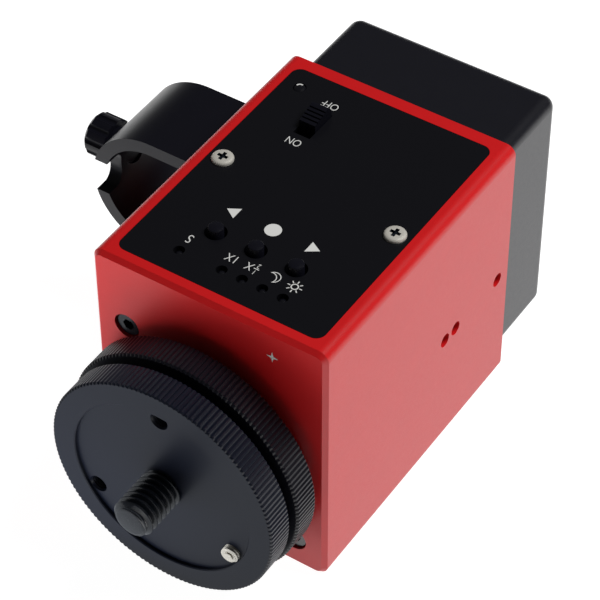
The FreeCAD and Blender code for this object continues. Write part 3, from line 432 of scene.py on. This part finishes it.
@dataclass
class FlutedRim:
    """Straight fluting round a rim."""

    count: int
    depth: float = 0.30 * MM
    steps: int = 6
    groove_share: float = 0.32
    groove_power: float = 0.8

    def radius(self, angle: float, crest: float) -> float:
        """Radius of the fluted rim at an angle.

        Args:
            angle: Angle about the axis in radians.
            crest: Radius of the crests.

        Returns:
            The radius in metres.
        """
        phase = (angle * self.count / FULL_TURN) % 1.0
        groove = max(0.0, 1 - abs(phase - 0.5) / self.groove_share)
        return crest - self.depth * groove ** self.groove_power

    def shape(self, crest: float) -> Callable:
        """Function that moves a vertex on to the fluted rim with the given crest radius."""

        def move(vert: bmesh.types.BMVert) -> None:
            """Move one vertex out or in to the fluted rim."""
            angle = math.atan2(vert.co.y, vert.co.x)
            radius = self.radius(angle, crest)
            vert.co.x = radius * math.cos(angle)
            vert.co.y = radius * math.sin(angle)

        return move

    def loop(self, piece: Piece, crest: float, height: float) -> list:
        """Closed fluted loop of edges."""
        edges = piece.ring(crest, height, self.count * self.steps)
        move = self.shape(crest)
        for vert in {v for e in edges for v in e.verts}:
            move(vert)
        return edges

    def wall(self, piece: Piece, stations: Sequence[Pair]) -> tuple[list, list]:
        """Fluted wall through stations of (crest radius, height).

        Args:
            piece: The piece that gets the wall.
            stations: Crest radius and height of each loop.

        Returns:
            The first and the last loop of edges.
        """
        first = self.loop(piece, *stations[0])
        edges = first
        for (_, before), (crest, height) in zip(stations, stations[1:]):
            edges = piece.raise_edges(edges, Vector((0, 0, height - before)), self.shape(crest))
        return first, edges


@dataclass
class Thread:
    """Helical thread that runs out towards the tip, at the low end of local Z."""

    crest: float
    root: float
    pitch: float
    length: float
    tip: float
    steps: int = 40
    first: float = 0.35 * MM
    spare_turns: int = 3

    def build(self, piece: Piece) -> Piece:
        """Spin one tooth up the helix, trim both ends and taper the tip.

        Args:
            piece: The piece that gets the thread; local Z = 0 is the tip.

        Returns:
            The same piece.
        """
        bm = piece.bm
        root, crest = self.root, self.crest
        outline = ((root, 0.0), (root, 0.14), (crest, 0.46), (crest, 0.60), (root, 0.92),
                   (root, 1.0))
        start = -self.spare_turns / 2 * self.pitch
        verts = [bm.verts.new((radius, 0, start + share * self.pitch)) for radius, share in outline]
        edges = [bm.edges.new(pair) for pair in zip(verts, verts[1:])]
        turns = math.ceil(self.length / self.pitch) + self.spare_turns
        bmesh.ops.spin(bm, geom=verts + edges, cent=(0, 0, 0), axis=(0, 0, 1),
                       angle=FULL_TURN * turns, steps=self.steps * turns,
                       dvec=(0, 0, self.pitch / self.steps))
        bmesh.ops.remove_doubles(bm, verts=bm.verts, dist=HELIX_WELD)
        for height, sign in ((self.first, -1), (self.length, 1)):
            self.trim(bm, height, sign)
        for vert in bm.verts:
            radius = math.hypot(vert.co.x, vert.co.y)
            limit = crest - self.tip + vert.co.z
            if radius > limit:
                vert.co.x *= limit / radius
                vert.co.y *= limit / radius
        return piece

    @staticmethod
    def trim(bm: bmesh.types.BMesh, height: float, sign: int) -> None:
        """Cut off what lies beyond a height and close the cut.

        Args:
            bm: The mesh.
            height: Where it is cut.
            sign: 1 to remove what is above, -1 what is below.
        """
        geometry = bm.verts[:] + bm.edges[:] + bm.faces[:]
        cut = bmesh.ops.bisect_plane(bm, geom=geometry, plane_co=(0, 0, height),
                                     plane_no=(0, 0, sign), clear_outer=True, dist=WELD)
        rim = [g for g in cut["geom_cut"] if isinstance(g, bmesh.types.BMEdge)]
        bmesh.ops.contextual_create(bm, geom=rim)


@dataclass
class PolarHead:
    """Camera plate, clutch ring, stud and lock screw on the polar axis."""

    plate_front: float = -56.2 * MM
    plate_back: float = -49.5 * MM
    plate_radius: float = 28.0 * MM
    recess_radius: float = 22.2 * MM
    recess_depth: float = 0.9 * MM
    hub_radius: float = 17.0 * MM
    hub_back: float = -41.0 * MM
    ring_front: float = -47.7 * MM
    ring_back: float = -40.8 * MM
    ring_radius: float = 28.8 * MM
    stud_length: float = 11.8 * MM
    stud_radius: float = 4.7625 * MM
    lock_circle: float = 20.0 * MM
    lock_radius: float = 2.05 * MM
    floor_step: float = 3.2 * MM
    stud_hole: float = 4.2 * MM
    spindle_hole: float = 5.02 * MM

    @property
    def seat(self) -> float:
        """Y of the plate's recessed floor."""
        return self.plate_front + self.recess_depth

    def build(self) -> None:
        """Make and dress every piece of the head."""
        self.camera_plate()
        self.clutch_ring()
        self.stud()
        self.lock_screw()
        dress(Look.DARK_STEEL, "polar_spindle")
        dress(Look.STEEL, "spindle_nut", "spring_washer")
        dress(Look.NYLON, "clutch_washer")

    def camera_plate(self) -> bpy.types.Object:
        """Plate with a fluted rim, a seat for a ball head and three lock screw holes."""
        piece = Piece("camera_plate_look")
        bevel = 0.35 * MM
        soft = 0.22 * MM
        countersink = 0.12 * MM
        crest, low, high = self.plate_radius, self.plate_front, self.plate_back
        front, back = FlutedRim(150).wall(piece, (
            (crest - bevel, low), (crest, low + bevel),
            (crest, high - bevel), (crest - bevel, high)))
        lip = piece.ring(self.recess_radius + soft, low, 144)
        piece.fill(front + lip)
        edge = piece.raise_edges(lip, Vector(), round_to(self.recess_radius, low + soft))
        floor = piece.raise_edges(edge, Vector((0, 0, self.recess_depth - soft)))
        inner = piece.ring(self.lock_circle - self.floor_step, self.seat, 96)
        centre = piece.ring(self.stud_hole, self.seat, 48)
        piece.fill(inner + centre)
        mouths = []
        for turn in THIRDS:
            angle = math.radians(turn)
            spot = (self.lock_circle * math.cos(angle), -self.lock_circle * math.sin(angle))
            mouths.append(piece.ring(self.lock_radius + countersink, self.seat, 32, spot))
        self.floor_with_holes(piece, floor, inner, mouths)
        for hole in mouths:
            self.lock_hole(piece, hole)
        hub = piece.ring(self.hub_radius, high, 96)
        piece.fill(back + hub)
        end = piece.raise_edges(hub, Vector((0, 0, self.hub_back - high)))
        bore = piece.ring(self.spindle_hole, self.hub_back, 48)
        piece.fill(end + bore)
        return piece.finish(Look.PLATE, "plate", Along.Y, (0, 0, AXIS_HEIGHT), ("camera_plate",))

    @staticmethod
    def floor_with_holes(piece: Piece, outer: Sequence, inner: Sequence, mouths: Sequence) -> None:
        """Fill the floor between two circles, a third at a time, with one hole in each third.

        Args:
            piece: The plate.
            outer: Edges of the outer circle.
            inner: Edges of the inner circle.
            mouths: Edges of each hole.
        """
        sides = []
        for turn in THIRDS:
            way = Vector((math.cos(math.radians(turn)), math.sin(math.radians(turn)), 0))
            ends = []
            for loop in (outer, inner):
                verts = {v for e in loop for v in e.verts}
                ends.append(max(verts, key=lambda v, w=way: v.co.normalized().dot(w)))
            sides.append((piece.bm.edges.new(ends), way))
        for hole in mouths:
            middle = sum((v.co for e in hole for v in e.verts), Vector())
            middle.z = 0
            middle.normalize()
            near = [e for loop in (outer, inner) for e in loop if PolarHead.beside(e, middle)]
            walls = [e for e, way in sides if way.dot(middle) > 0]
            piece.fill(near + walls + list(hole))

    @staticmethod
    def beside(edge: bmesh.types.BMEdge, middle: Vector) -> bool:
        """Tell whether an edge lies in the third about a direction."""
        spot = (edge.verts[0].co + edge.verts[1].co) / 2
        spot.z = 0
        return spot.normalized().dot(middle) > COS_60

    def lock_hole(self, piece: Piece, mouth: Sequence) -> None:
        """Countersink and threaded wall of one lock screw hole.

        Args:
            piece: The plate.
            mouth: Edges of the hole's mouth.
        """
        verts = {v for e in mouth for v in e.verts}
        centre = sum((v.co for v in verts), Vector()) / len(verts)
        edges = mouth
        ridge = 0.14 * MM
        rise = 0.3 * MM
        for step in range(12):
            radius = self.lock_radius - (ridge if step % 2 else 0)

            def pull(vert: bmesh.types.BMVert, to: float = radius) -> None:
                """Move a vertex to the hole's radius."""
                away = Vector((vert.co.x - centre.x, vert.co.y - centre.y, 0))
                away.normalize()
                vert.co.x = centre.x + to * away.x
                vert.co.y = centre.y + to * away.y

            edges = piece.raise_edges(edges, Vector((0, 0, rise)), pull)
        piece.fill(edges)

    def clutch_ring(self) -> bpy.types.Object:
        """Fluted clutch ring."""
        piece = Piece("clutch_ring_look")
        bevel = 0.45 * MM
        play = 0.05 * MM
        crest, low, high = self.ring_radius, self.ring_front, self.ring_back
        front, back = FlutedRim(156).wall(piece, (
            (crest - bevel, low), (crest, low + bevel),
            (crest, high - bevel), (crest - bevel, high)))
        bore = piece.ring(self.hub_radius + play, low, 96)
        piece.fill(front + bore)
        far = piece.raise_edges(bore, Vector((0, 0, high - low)))
        piece.fill(back + far)
        return piece.finish(Look.BLACK, "clutch", Along.Y, (0, 0, AXIS_HEIGHT), ("clutch_ring",))

    def stud(self) -> bpy.types.Object:
        """Threaded stud with a flat, rounded end."""
        root = self.stud_radius - 0.95 * MM
        core = root + 0.02 * MM
        end = self.stud_length + 3 * MM
        pitch = 1.5875 * MM
        piece = Piece("ball_head_stud_look")
        Thread(self.stud_radius, root, pitch, self.stud_length + 1.0 * MM, 1.15 * MM).build(piece)
        piece.turn([(0, 0), (root - 0.75 * MM, 0), (root - 0.4 * MM, 0.08 * MM),
                    (root - 0.1 * MM, 0.4 * MM), (core, 0.9 * MM), (core, end), (0, end)])
        place = (0, self.seat - self.stud_length, AXIS_HEIGHT)
        return piece.finish(Look.DARK_STEEL, "plate", Along.Y, place, ("ball_head_stud",),
                            50.0)

    def lock_screw(self) -> bpy.types.Object:
        """Bright lock screw with its hexagon socket."""
        stand = 1.6 * MM
        radius = 2.0 * MM
        socket = 1.1 * MM
        lift = 0.02 * MM
        angle = math.radians(30)
        piece = Piece("lock_screw_look")
        Thread(radius, radius - 0.4 * MM, 0.7 * MM, 5.5 * MM, 0.35 * MM, 28).build(piece)
        piece.turn([(0, -lift), (socket, -lift), (socket, 0.1 * MM)], 6)
        place = (self.lock_circle * math.cos(angle), self.seat - stand,
                 AXIS_HEIGHT - self.lock_circle * math.sin(angle))
        return piece.finish(Look.NICKEL, "plate", Along.Y, place, ("lock_screw",), 50.0)


LABEL_ROW = -24.05
LETTERING = (  # name, words, middle and capital height, the last two in millimetres
    ("word_on", "ON", (-12.1, 13.0), 2.1),
    ("word_off", "OFF", (-11.9, 27.25), 2.1),
    ("label_s", "S", (-13.4, LABEL_ROW), 2.5),
    ("label_one", "1X", (-2.75, LABEL_ROW), 2.2),
    ("label_half_x", "X", (1.5, LABEL_ROW), 2.2),
    ("label_half_1", "1", (3.25, LABEL_ROW - 1), 1.3),
    ("label_half_2", "2", (3.2, LABEL_ROW + 1), 1.3),
)
ARROWS = (  # corners of the two key signs, in millimetres
    ((-12.15, -12.3), (-9.4, -10.7), (-9.4, -14.1)),
    ((11.25, -12.5), (8.5, -14.35), (8.5, -10.96)),
)


@dataclass
class ControlPanel:
    """Panel with its screws, keys, lights, switch and white markings."""

    top: float = 68.5 * MM
    board_top: float = 60.2 * MM
    key_foot: float = 62.6 * MM
    key_row: float = -19.5 * MM
    mark_row: float = -12.5 * MM
    led_row: float = -28.05 * MM
    led_places: tuple[float, ...] = (-13.35, -2.7, 2.3, 7.3, 12.3)
    key_places: tuple[float, ...] = (-10.0, 0.0, 10.0)
    power_place: Pair = (-20.8 * MM, 28.6 * MM)
    screw_place: float = 21.7 * MM
    capital: float = 0.7
    thinning: float = 0.006
    narrowing: float = 0.8

    def build(self) -> None:
        """Make and dress every piece of the panel."""
        dress(Look.PANEL, "control_panel")
        dress(Look.KEY, "power_switch_knob")
        dress(Look.PLASTIC, "power_switch_body", "key_switches", "board_chips")
        dress(Look.BOARD, "circuit_board")
        dress(Look.STEEL, "board_standoffs")
        self.keys()
        self.lights()
        self.screws()
        self.markings()

    def keys(self) -> None:
        """Three keys with rounded tops."""
        stand = self.top + 1.65 * MM
        radius = 1.75 * MM
        outline = [(0, self.key_foot), (radius, self.key_foot), (radius, stand - 0.3 * MM),
                   (radius - 0.12 * MM, stand - 0.1 * MM), (radius - 0.3 * MM, stand), (0, stand)]
        for word, across in zip(("left", "middle", "right"), self.key_places):
            piece = Piece("button_%s_look" % word)
            piece.turn(outline, 40)
            piece.finish(Look.KEY, "key_" + word, Along.Z, (across * MM, self.key_row, 0),
                         ("button_" + word,))

    def lights(self) -> None:
        """Domed lenses of the mode lights and the power light, and a white arc that paints the
        power light's highlight.
        """
        piece = Piece("mode_leds_look")
        for across in self.led_places:
            single = Piece("lens")
            self.lens(single, 0.95 * MM, self.top - 0.7 * MM, 0.6 * MM)
            bm = single.bm
            bmesh.ops.translate(bm, verts=bm.verts, vec=(across * MM, self.led_row, 0))
            mesh = bpy.data.meshes.new("lens")
            bm.to_mesh(mesh)
            bm.free()
            piece.bm.from_mesh(mesh)
            bpy.data.meshes.remove(mesh)
        piece.finish(Look.LENS, "box", replaces=("mode_leds",))
        power = Piece("power_led_look")
        self.lens(power, 1.5 * MM, self.top + 0.3 * MM, 0.8 * MM)
        power.finish(Look.LENS, "box", Along.Z, (*self.power_place, 0), ("power_led",))
        # Painted highlight on the power light's dome, laid on as a white arc.
        self.lip()

    def lip(self) -> None:
        """Painted highlight: a white arc on the power light's dome, standing in for the lens's
        glint.
        """
        glint = Piece("power_led_painted_highlight")
        bm = glint.bm
        level = self.top + 0.33 * MM
        start = Matrix.Rotation(math.radians(66), 4, "Z")
        ends = [bm.verts.new(start @ Vector((radius * MM, 0, level))) for radius in (0.6, 0.95)]
        bmesh.ops.spin(bm, geom=ends + [bm.edges.new(ends)], cent=(0, 0, 0), axis=(0, 0, 1),
                       angle=math.radians(112), steps=14)
        bmesh.ops.translate(bm, verts=bm.verts, vec=(*self.power_place, 0))
        # The white finish here paints the lens highlight; this arc is no print.
        glint.finish(Look.INK_AND_HIGHLIGHT, "box")

    @staticmethod
    def lens(piece: Piece, radius: float, high: float, dome: float) -> None:
        """Round lens that stands on the circuit board and has a domed top.

        Args:
            piece: The piece that gets the lens.
            radius: Its radius.
            high: Height of its top.
            dome: Height of the dome.
        """
        angles = [math.pi / 2 * step / 8 for step in range(8)]
        arc = [(radius * math.cos(a), high - dome + dome * math.sin(a)) for a in angles]
        low = ControlPanel.board_top
        piece.turn([(0, low), (radius, low), *arc, (0, high)], 32)

    def screws(self) -> None:
        """Two pan head screws with cross recesses, the recess walls painted dark as shade."""
        for word, sign in (("right", 1), ("left", -1)):
            place = (sign * self.screw_place, 0, self.top)
            head = PanHead()
            piece = Piece("panel_screw_%s_look" % word)
            head.build(piece)
            nodes = ("panel_screws",) if sign > 0 else ()
            piece.finish(Look.NICKEL, "box", Along.Z, place, nodes, 30.0)
            # Recess walls in the dark steel finish on a nickel head: painted shade in the cross
            # recess.
            recess = Piece("panel_screw_%s_recess" % word)
            head.recess(recess)
            recess.finish(Look.DARK_STEEL, "box", Along.Z, place, (), 30.0)

    def markings(self) -> None:
        """White markings: key signs, labels of the lights, and the switch's words."""
        level = self.top + INK_LIFT
        row = LABEL_ROW * MM
        sign = Piece("key_marks")
        for corners in ARROWS:
            sign.bm.faces.new([sign.bm.verts.new((x * MM, y * MM, level)) for x, y in corners])
        self.disc(sign, (-0.4 * MM, self.mark_row), 1.87 * MM, level)
        self.sun(sign, (12.6 * MM, row), level)
        self.moon(sign, (7.5 * MM, row), level)
        sign.finish(Look.INK_AND_HIGHLIGHT, "box")
        for name, words, place, height in LETTERING:
            self.words(name, words, (place[0] * MM, place[1] * MM), height * MM)
        bar = Piece("label_half_bar")
        self.strip(bar, (3.2 * MM, row), 0.65 * MM, 0.1 * MM, level)
        bar.finish(Look.INK_AND_HIGHLIGHT, "box")

    @staticmethod
    def disc(piece: Piece, place: Pair, radius: float, level: float) -> None:
        """Filled disc."""
        bmesh.ops.create_circle(piece.bm, cap_ends=True, segments=48, radius=radius,
                                matrix=Matrix.Translation((*place, level)))

    @staticmethod
    def strip(piece: Piece, place: Pair, half: float, thin: float, level: float, turn: float = 0.0,
              out: float = 0.0) -> None:
        """Thin rectangle, turned about its place and moved out along its turned length.

        Args:
            piece: The piece that gets the strip.
            place: Centre about which it is turned.
            half: Half its length.
            thin: Half its width.
            level: Height of the strip.
            turn: Angle in radians.
            out: Distance from the place to the strip's middle.
        """
        way = Matrix.Translation((*place, level)) @ Matrix.Rotation(turn, 4, "Z")
        scale = Matrix.Translation((out, 0, 0)) @ Matrix.Diagonal((half, thin, 1, 1))
        bmesh.ops.create_grid(piece.bm, x_segments=1, y_segments=1, size=1, matrix=way @ scale)

    def sun(self, piece: Piece, place: Pair, level: float) -> None:
        """Sun sign: a ring with eight rays."""
        self.band(piece, place, 0.62 * MM, 0.88 * MM, level)
        for ray in range(8):
            self.strip(piece, place, 0.34 * MM, 0.12 * MM, level, ray * math.pi / 4, 1.42 * MM)

    @staticmethod
    def band(piece: Piece, place: Pair, inner: float, outer: float, level: float) -> None:
        """Flat ring between two radii."""
        loops = []
        for radius in (inner, outer):
            loops += piece.ring(radius, level, 40, place)
        piece.fill(loops)

    @staticmethod
    def moon(piece: Piece, place: Pair, level: float) -> None:
        """Outlined crescent, tilted, with its horns towards the left rear."""
        line = 0.2 * MM
        offset = 1.0 * MM
        tilt = Matrix.Rotation(math.radians(214), 4, "Z")
        loops = []
        for shrink in (0.0, line):
            outer = 1.55 * MM - shrink
            inner = 1.45 * MM + shrink
            tip = math.acos((outer ** 2 + offset ** 2 - inner ** 2) / (2 * outer * offset))
            horn = math.atan2(outer * math.sin(tip), outer * math.cos(tip) - offset)
            sweep = [tip + (FULL_TURN - 2 * tip) * k / 28 for k in range(29)]
            back = [FULL_TURN - horn - (FULL_TURN - 2 * horn) * k / 20 for k in range(1, 20)]
            spots = [(outer * math.cos(a), outer * math.sin(a)) for a in sweep]
            spots += [(offset + inner * math.cos(a), inner * math.sin(a)) for a in back]
            middle = Vector((*place, level))
            verts = [piece.bm.verts.new(middle + tilt @ Vector((x, y, 0))) for x, y in spots]
            loops += [piece.bm.edges.new(pair) for pair in zip(verts, verts[1:] + verts[:1])]
        piece.fill(loops)

    def words(self, name: str, text: str, place: Pair, height: float) -> bpy.types.Object:
        """Flat lettering that reads from the battery box's side.

        Args:
            name: The object's name.
            text: What it says.
            place: Middle of the words.
            height: Height of a capital.

        Returns:
            The object.
        """
        curve = bpy.data.curves.new(name, "FONT")
        curve.body = text
        curve.align_x = "CENTER"
        curve.align_y = "CENTER"
        curve.size = height / self.capital
        curve.offset = -self.thinning * curve.size
        written = bpy.data.objects.new(name, curve)
        bpy.context.scene.collection.objects.link(written)
        shaped = written.evaluated_get(bpy.context.evaluated_depsgraph_get())
        mesh = bpy.data.meshes.new_from_object(shaped)
        bpy.data.objects.remove(written)
        turned = Matrix.Rotation(math.pi, 4, "Z") @ Matrix.Diagonal((self.narrowing, 1, 1, 1))
        mesh.transform(Matrix.Translation((*place, self.top + INK_LIFT)) @ turned)
        mesh.materials.clear()
        mesh.materials.append(Look.INK_AND_HIGHLIGHT.value.material())
        thing = bpy.data.objects.new(name, mesh)
        bpy.context.scene.collection.objects.link(thing)
        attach(thing, "box")
        return thing


@dataclass
class PanHead:
    """Head of a cross-recessed pan head screw, with a stub of its shank."""

    radius: float = 2.5 * MM
    height: float = 0.9 * MM
    flat: float = 1.7 * MM
    arm: float = 1.25 * MM
    half_width: float = 0.42 * MM
    depth: float = 0.75 * MM
    draw_in: float = 0.8
    shank: float = 1.25 * MM
    stub: float = 4 * MM

    def build(self, piece: Piece) -> None:
        """Make the head in local Z from 0 up.

        Args:
            piece: The piece that gets the head.
        """
        edge = piece.ring(self.flat, self.height, 48)
        piece.fill(edge + self.cross(piece))
        loop = edge
        for radius, height in ((2.1 * MM, 0.82 * MM), (2.35 * MM, 0.64 * MM),
                               (self.radius, 0.36 * MM), (self.radius, 0.0),
                               (self.shank, 0.0), (self.shank, -self.stub)):
            loop = piece.raise_edges(loop, Vector(), round_to(radius, height))
        piece.fill(loop)

    def recess(self, piece: Piece) -> None:
        """Make the walls and the bottom of the cross recess.

        Args:
            piece: The piece that gets the recess.
        """
        deep = piece.raise_edges(self.cross(piece), Vector((0, 0, -self.depth)), self.taper)
        piece.fill(deep)

    def cross(self, piece: Piece) -> list:
        """Outline of the cross recess."""
        wide, arm = self.half_width, self.arm
        quarter = [(arm, -wide), (arm, wide), (wide, wide)]
        verts = []
        for turn in range(4):
            cosine, sine = math.cos(turn * math.pi / 2), math.sin(turn * math.pi / 2)
            for x, y in quarter:
                spot = (x * cosine - y * sine, x * sine + y * cosine, self.height)
                verts.append(piece.bm.verts.new(spot))
        return [piece.bm.edges.new(pair) for pair in zip(verts, verts[1:] + verts[:1])]

    def taper(self, vert: bmesh.types.BMVert) -> None:
        """Draw the recess in towards its bottom."""
        vert.co.x *= self.draw_in
        vert.co.y *= self.draw_in


@dataclass
class DriveBox:
    """Red housing with its front markings, and everything inside it."""

    front: float = -37.5 * MM

    def build(self) -> None:
        """Dress the housing and its insides, and mark the front."""
        dress(Look.RED, "main_housing")
        dress(Look.BLACK, "rear_plate")
        dress(Look.DARK_STEEL, "frame_screws", "rear_plate_screws", "clamp_screws",
              "battery_box_screws")
        dress(Look.STEEL, "tripod_insert", "idler_axle", "motor_shaft", "stepper_motor", "worm")
        dress(Look.STEEL, *(where + "_bearing_" + part for where in ("front", "rear")
                            for part in ("outer", "inner", "balls")))
        dress(Look.STEEL, "worm_bearing_outers", "worm_bearing_inners", "worm_bearing_balls")
        dress(Look.ALUMINIUM, "gear_frame", "worm_carrier", "drive_sleeve", "motor_bracket")
        dress(Look.BRONZE, "worm_wheel", "worm_gear", "idler_gear", "motor_gear", "spindle_bushes")
        self.star_mark()

    def star_mark(self) -> bpy.types.Object:
        """Plain four-pointed star on the front, a generic sign for the sky."""
        piece = Piece("star_mark")
        verts = []
        for step in range(8):
            radius = (1.5 if step % 2 == 0 else 0.42) * MM
            angle = step * math.pi / 4
            spot = (radius * math.cos(angle), radius * math.sin(angle), 0)
            verts.append(piece.bm.verts.new(spot))
        piece.bm.faces.new(verts)
        place = (16.0 * MM, self.front - INK_LIFT, 61.5 * MM)
        return piece.finish(Look.INK_AND_HIGHLIGHT, "box", Along.Y, place)


class SideClamp:
    """Polar-scope clamp with its thumb screw and pad."""

    def build(self) -> None:
        """Dress the clamp's pieces."""
        dress(Look.BLACK, "scope_clamp")
        dress(Look.KEY, "thumb_screw", "clamp_pad")


class BatteryBox:
    """Battery box, its cover, the cells and their contacts."""

    def build(self) -> None:
        """Dress the battery box's pieces."""
        dress(Look.PLASTIC, "battery_box", "battery_cover")
        dress(Look.SLEEVE, "battery_cells")
        dress(Look.STEEL, "battery_contacts")


@dataclass
class Studio:
    """Pale floor, soft lights and the camera."""

    camera_place: Place = (0.2247, -0.3431, 0.4476)
    target: Place = (-0.003476, 0.002196, 0.034)
    roll: float = math.radians(-0.196)
    lens: float = 159.01
    floor_glow: float = 0.98
    sky: float = 0.06
    card_glow: float = 0.46
    middle: Place = (0, 0, 0.034)
    top_place: Place = (0.36, 0.30, 0.80)
    top_size: float = 0.4
    top_watts: float = 7.2
    glint_watts: float = 1.9
    front_place: Place = (-0.055, -0.125, 0.001)
    front_size: float = 0.12
    front_watts: float = 0.26

    def build(self) -> None:
        """Make the floor, the world, the lights, the grey card and the camera."""
        self.floor()
        self.world()
        top = self.light("top_light", self.top_place, self.middle, self.top_size, self.top_watts)
        top.visible_glossy = False
        self.light("top_glint", self.top_place, self.middle, self.top_size, self.glint_watts)
        above = (*self.front_place[:2], 1)
        front = self.light("front_light", self.front_place, above, self.front_size,
                           self.front_watts)
        front.visible_glossy = False
        self.grey_card()
        self.camera()

    @staticmethod
    def sheet(name: str, low: Pair, high: Pair, level: float) -> bpy.types.Object:
        """Flat sheet that belongs to the studio.

        Args:
            name: The sheet's name.
            low: Its corner with the smallest X and Y.
            high: Its corner with the largest X and Y.
            level: Its height.

        Returns:
            The sheet.
        """
        bm = bmesh.new()
        middle = ((low[0] + high[0]) / 2, (low[1] + high[1]) / 2, level)
        scale = Matrix.Diagonal(((high[0] - low[0]) / 2, (high[1] - low[1]) / 2, 1, 1))
        place = Matrix.Translation(middle) @ scale
        bmesh.ops.create_grid(bm, x_segments=1, y_segments=1, size=1, matrix=place)
        mesh = bpy.data.meshes.new(name)
        bm.to_mesh(mesh)
        bm.free()
        thing = bpy.data.objects.new(name, mesh)
        bpy.context.scene.collection.objects.link(thing)
        return thing

    def floor(self) -> None:
        """Wide white floor that glows a little, as on a lit table."""
        thing = self.sheet("studio_floor", (-6, -6), (6, 6), -0.0005)
        graph = Graph("white_floor")
        sockets = graph.surface.inputs
        sockets["Base Color"].default_value = (0.3, 0.3, 0.3, 1.0)
        sockets["Roughness"].default_value = 1.0
        sockets["Specular IOR Level"].default_value = 0.0
        sockets["Emission Color"].default_value = (1.0, 1.0, 1.0, 1.0)
        sockets["Emission Strength"].default_value = self.floor_glow
        thing.data.materials.append(graph.material)

    def grey_card(self) -> None:
        """Grey card on the floor in front, seen only in reflections."""
        thing = self.sheet("studio_grey_card", (-0.9, -1.2), (0.03, -0.046), -0.0002)
        graph = Graph("grey_card")
        sockets = graph.surface.inputs
        sockets["Base Color"].default_value = (0, 0, 0, 1)
        sockets["Specular IOR Level"].default_value = 0.0
        sockets["Emission Color"].default_value = (0.92, 0.96, 1.0, 1)
        sockets["Emission Strength"].default_value = self.card_glow
        thing.data.materials.append(graph.material)
        thing.visible_camera = False
        thing.visible_diffuse = False
        thing.visible_shadow = False
        thing.visible_transmission = False

    def world(self) -> None:
        """White to the camera; a faint glow to everything else."""
        world = bpy.data.worlds.new("studio_world")
        bpy.context.scene.world = world
        world.use_nodes = True
        tree = world.node_tree
        path = tree.nodes.new("ShaderNodeLightPath")
        grade = tree.nodes.new("ShaderNodeMapRange")
        grade.inputs["To Min"].default_value = self.sky
        grade.inputs["To Max"].default_value = 1.0
        tree.links.new(path.outputs["Is Camera Ray"], grade.inputs["Value"])
        tree.links.new(grade.outputs["Result"], tree.nodes["Background"].inputs["Strength"])
        tree.nodes["Background"].inputs["Color"].default_value = (1.0, 1.0, 1.0, 1.0)
        bpy.context.scene.view_settings.view_transform = "Standard"

    @staticmethod
    def light(name: str, place: Place, aim: Place, size: float,
              watts: float) -> bpy.types.Object:
        """Square soft light that the camera doesn't see.

        Args:
            name: The light's name.
            place: Where it stands, in metres.
            aim: The point that it faces.
            size: Its side.
            watts: Its power.

        Returns:
            The light.
        """
        lamp = bpy.data.lights.new(name, "AREA")
        lamp.size = size
        lamp.energy = watts
        thing = bpy.data.objects.new(name, lamp)
        bpy.context.scene.collection.objects.link(thing)
        thing.location = place
        thing.rotation_euler = (Vector(aim) - Vector(place)).to_track_quat("-Z", "Y").to_euler()
        thing.visible_camera = False
        return thing

    def camera(self) -> None:
        """Camera at the chosen viewing angle."""
        lens = bpy.data.cameras.new("studio_camera")
        lens.lens = self.lens
        lens.sensor_width = 36.0
        lens.clip_start = 0.05
        thing = bpy.data.objects.new("studio_camera", lens)
        bpy.context.scene.collection.objects.link(thing)
        place = Vector(self.camera_place)
        aim = (Vector(self.target) - place).to_track_quat("-Z", "Y").to_matrix().to_4x4()
        thing.matrix_world = Matrix.Translation(place) @ aim @ Matrix.Rotation(self.roll, 4, "Z")
        bpy.context.scene.camera = thing


def main() -> None:
    """Build every sub-assembly in order."""
    logging.basicConfig(level=logging.INFO, format="%(message)s")
    for assembly in (DriveBox(), ControlPanel(), PolarHead(), SideClamp(), BatteryBox(), Studio()):
        assembly.build()
        LOG.info("built %s", type(assembly).__name__)


if __name__ == "__main__":
    main()
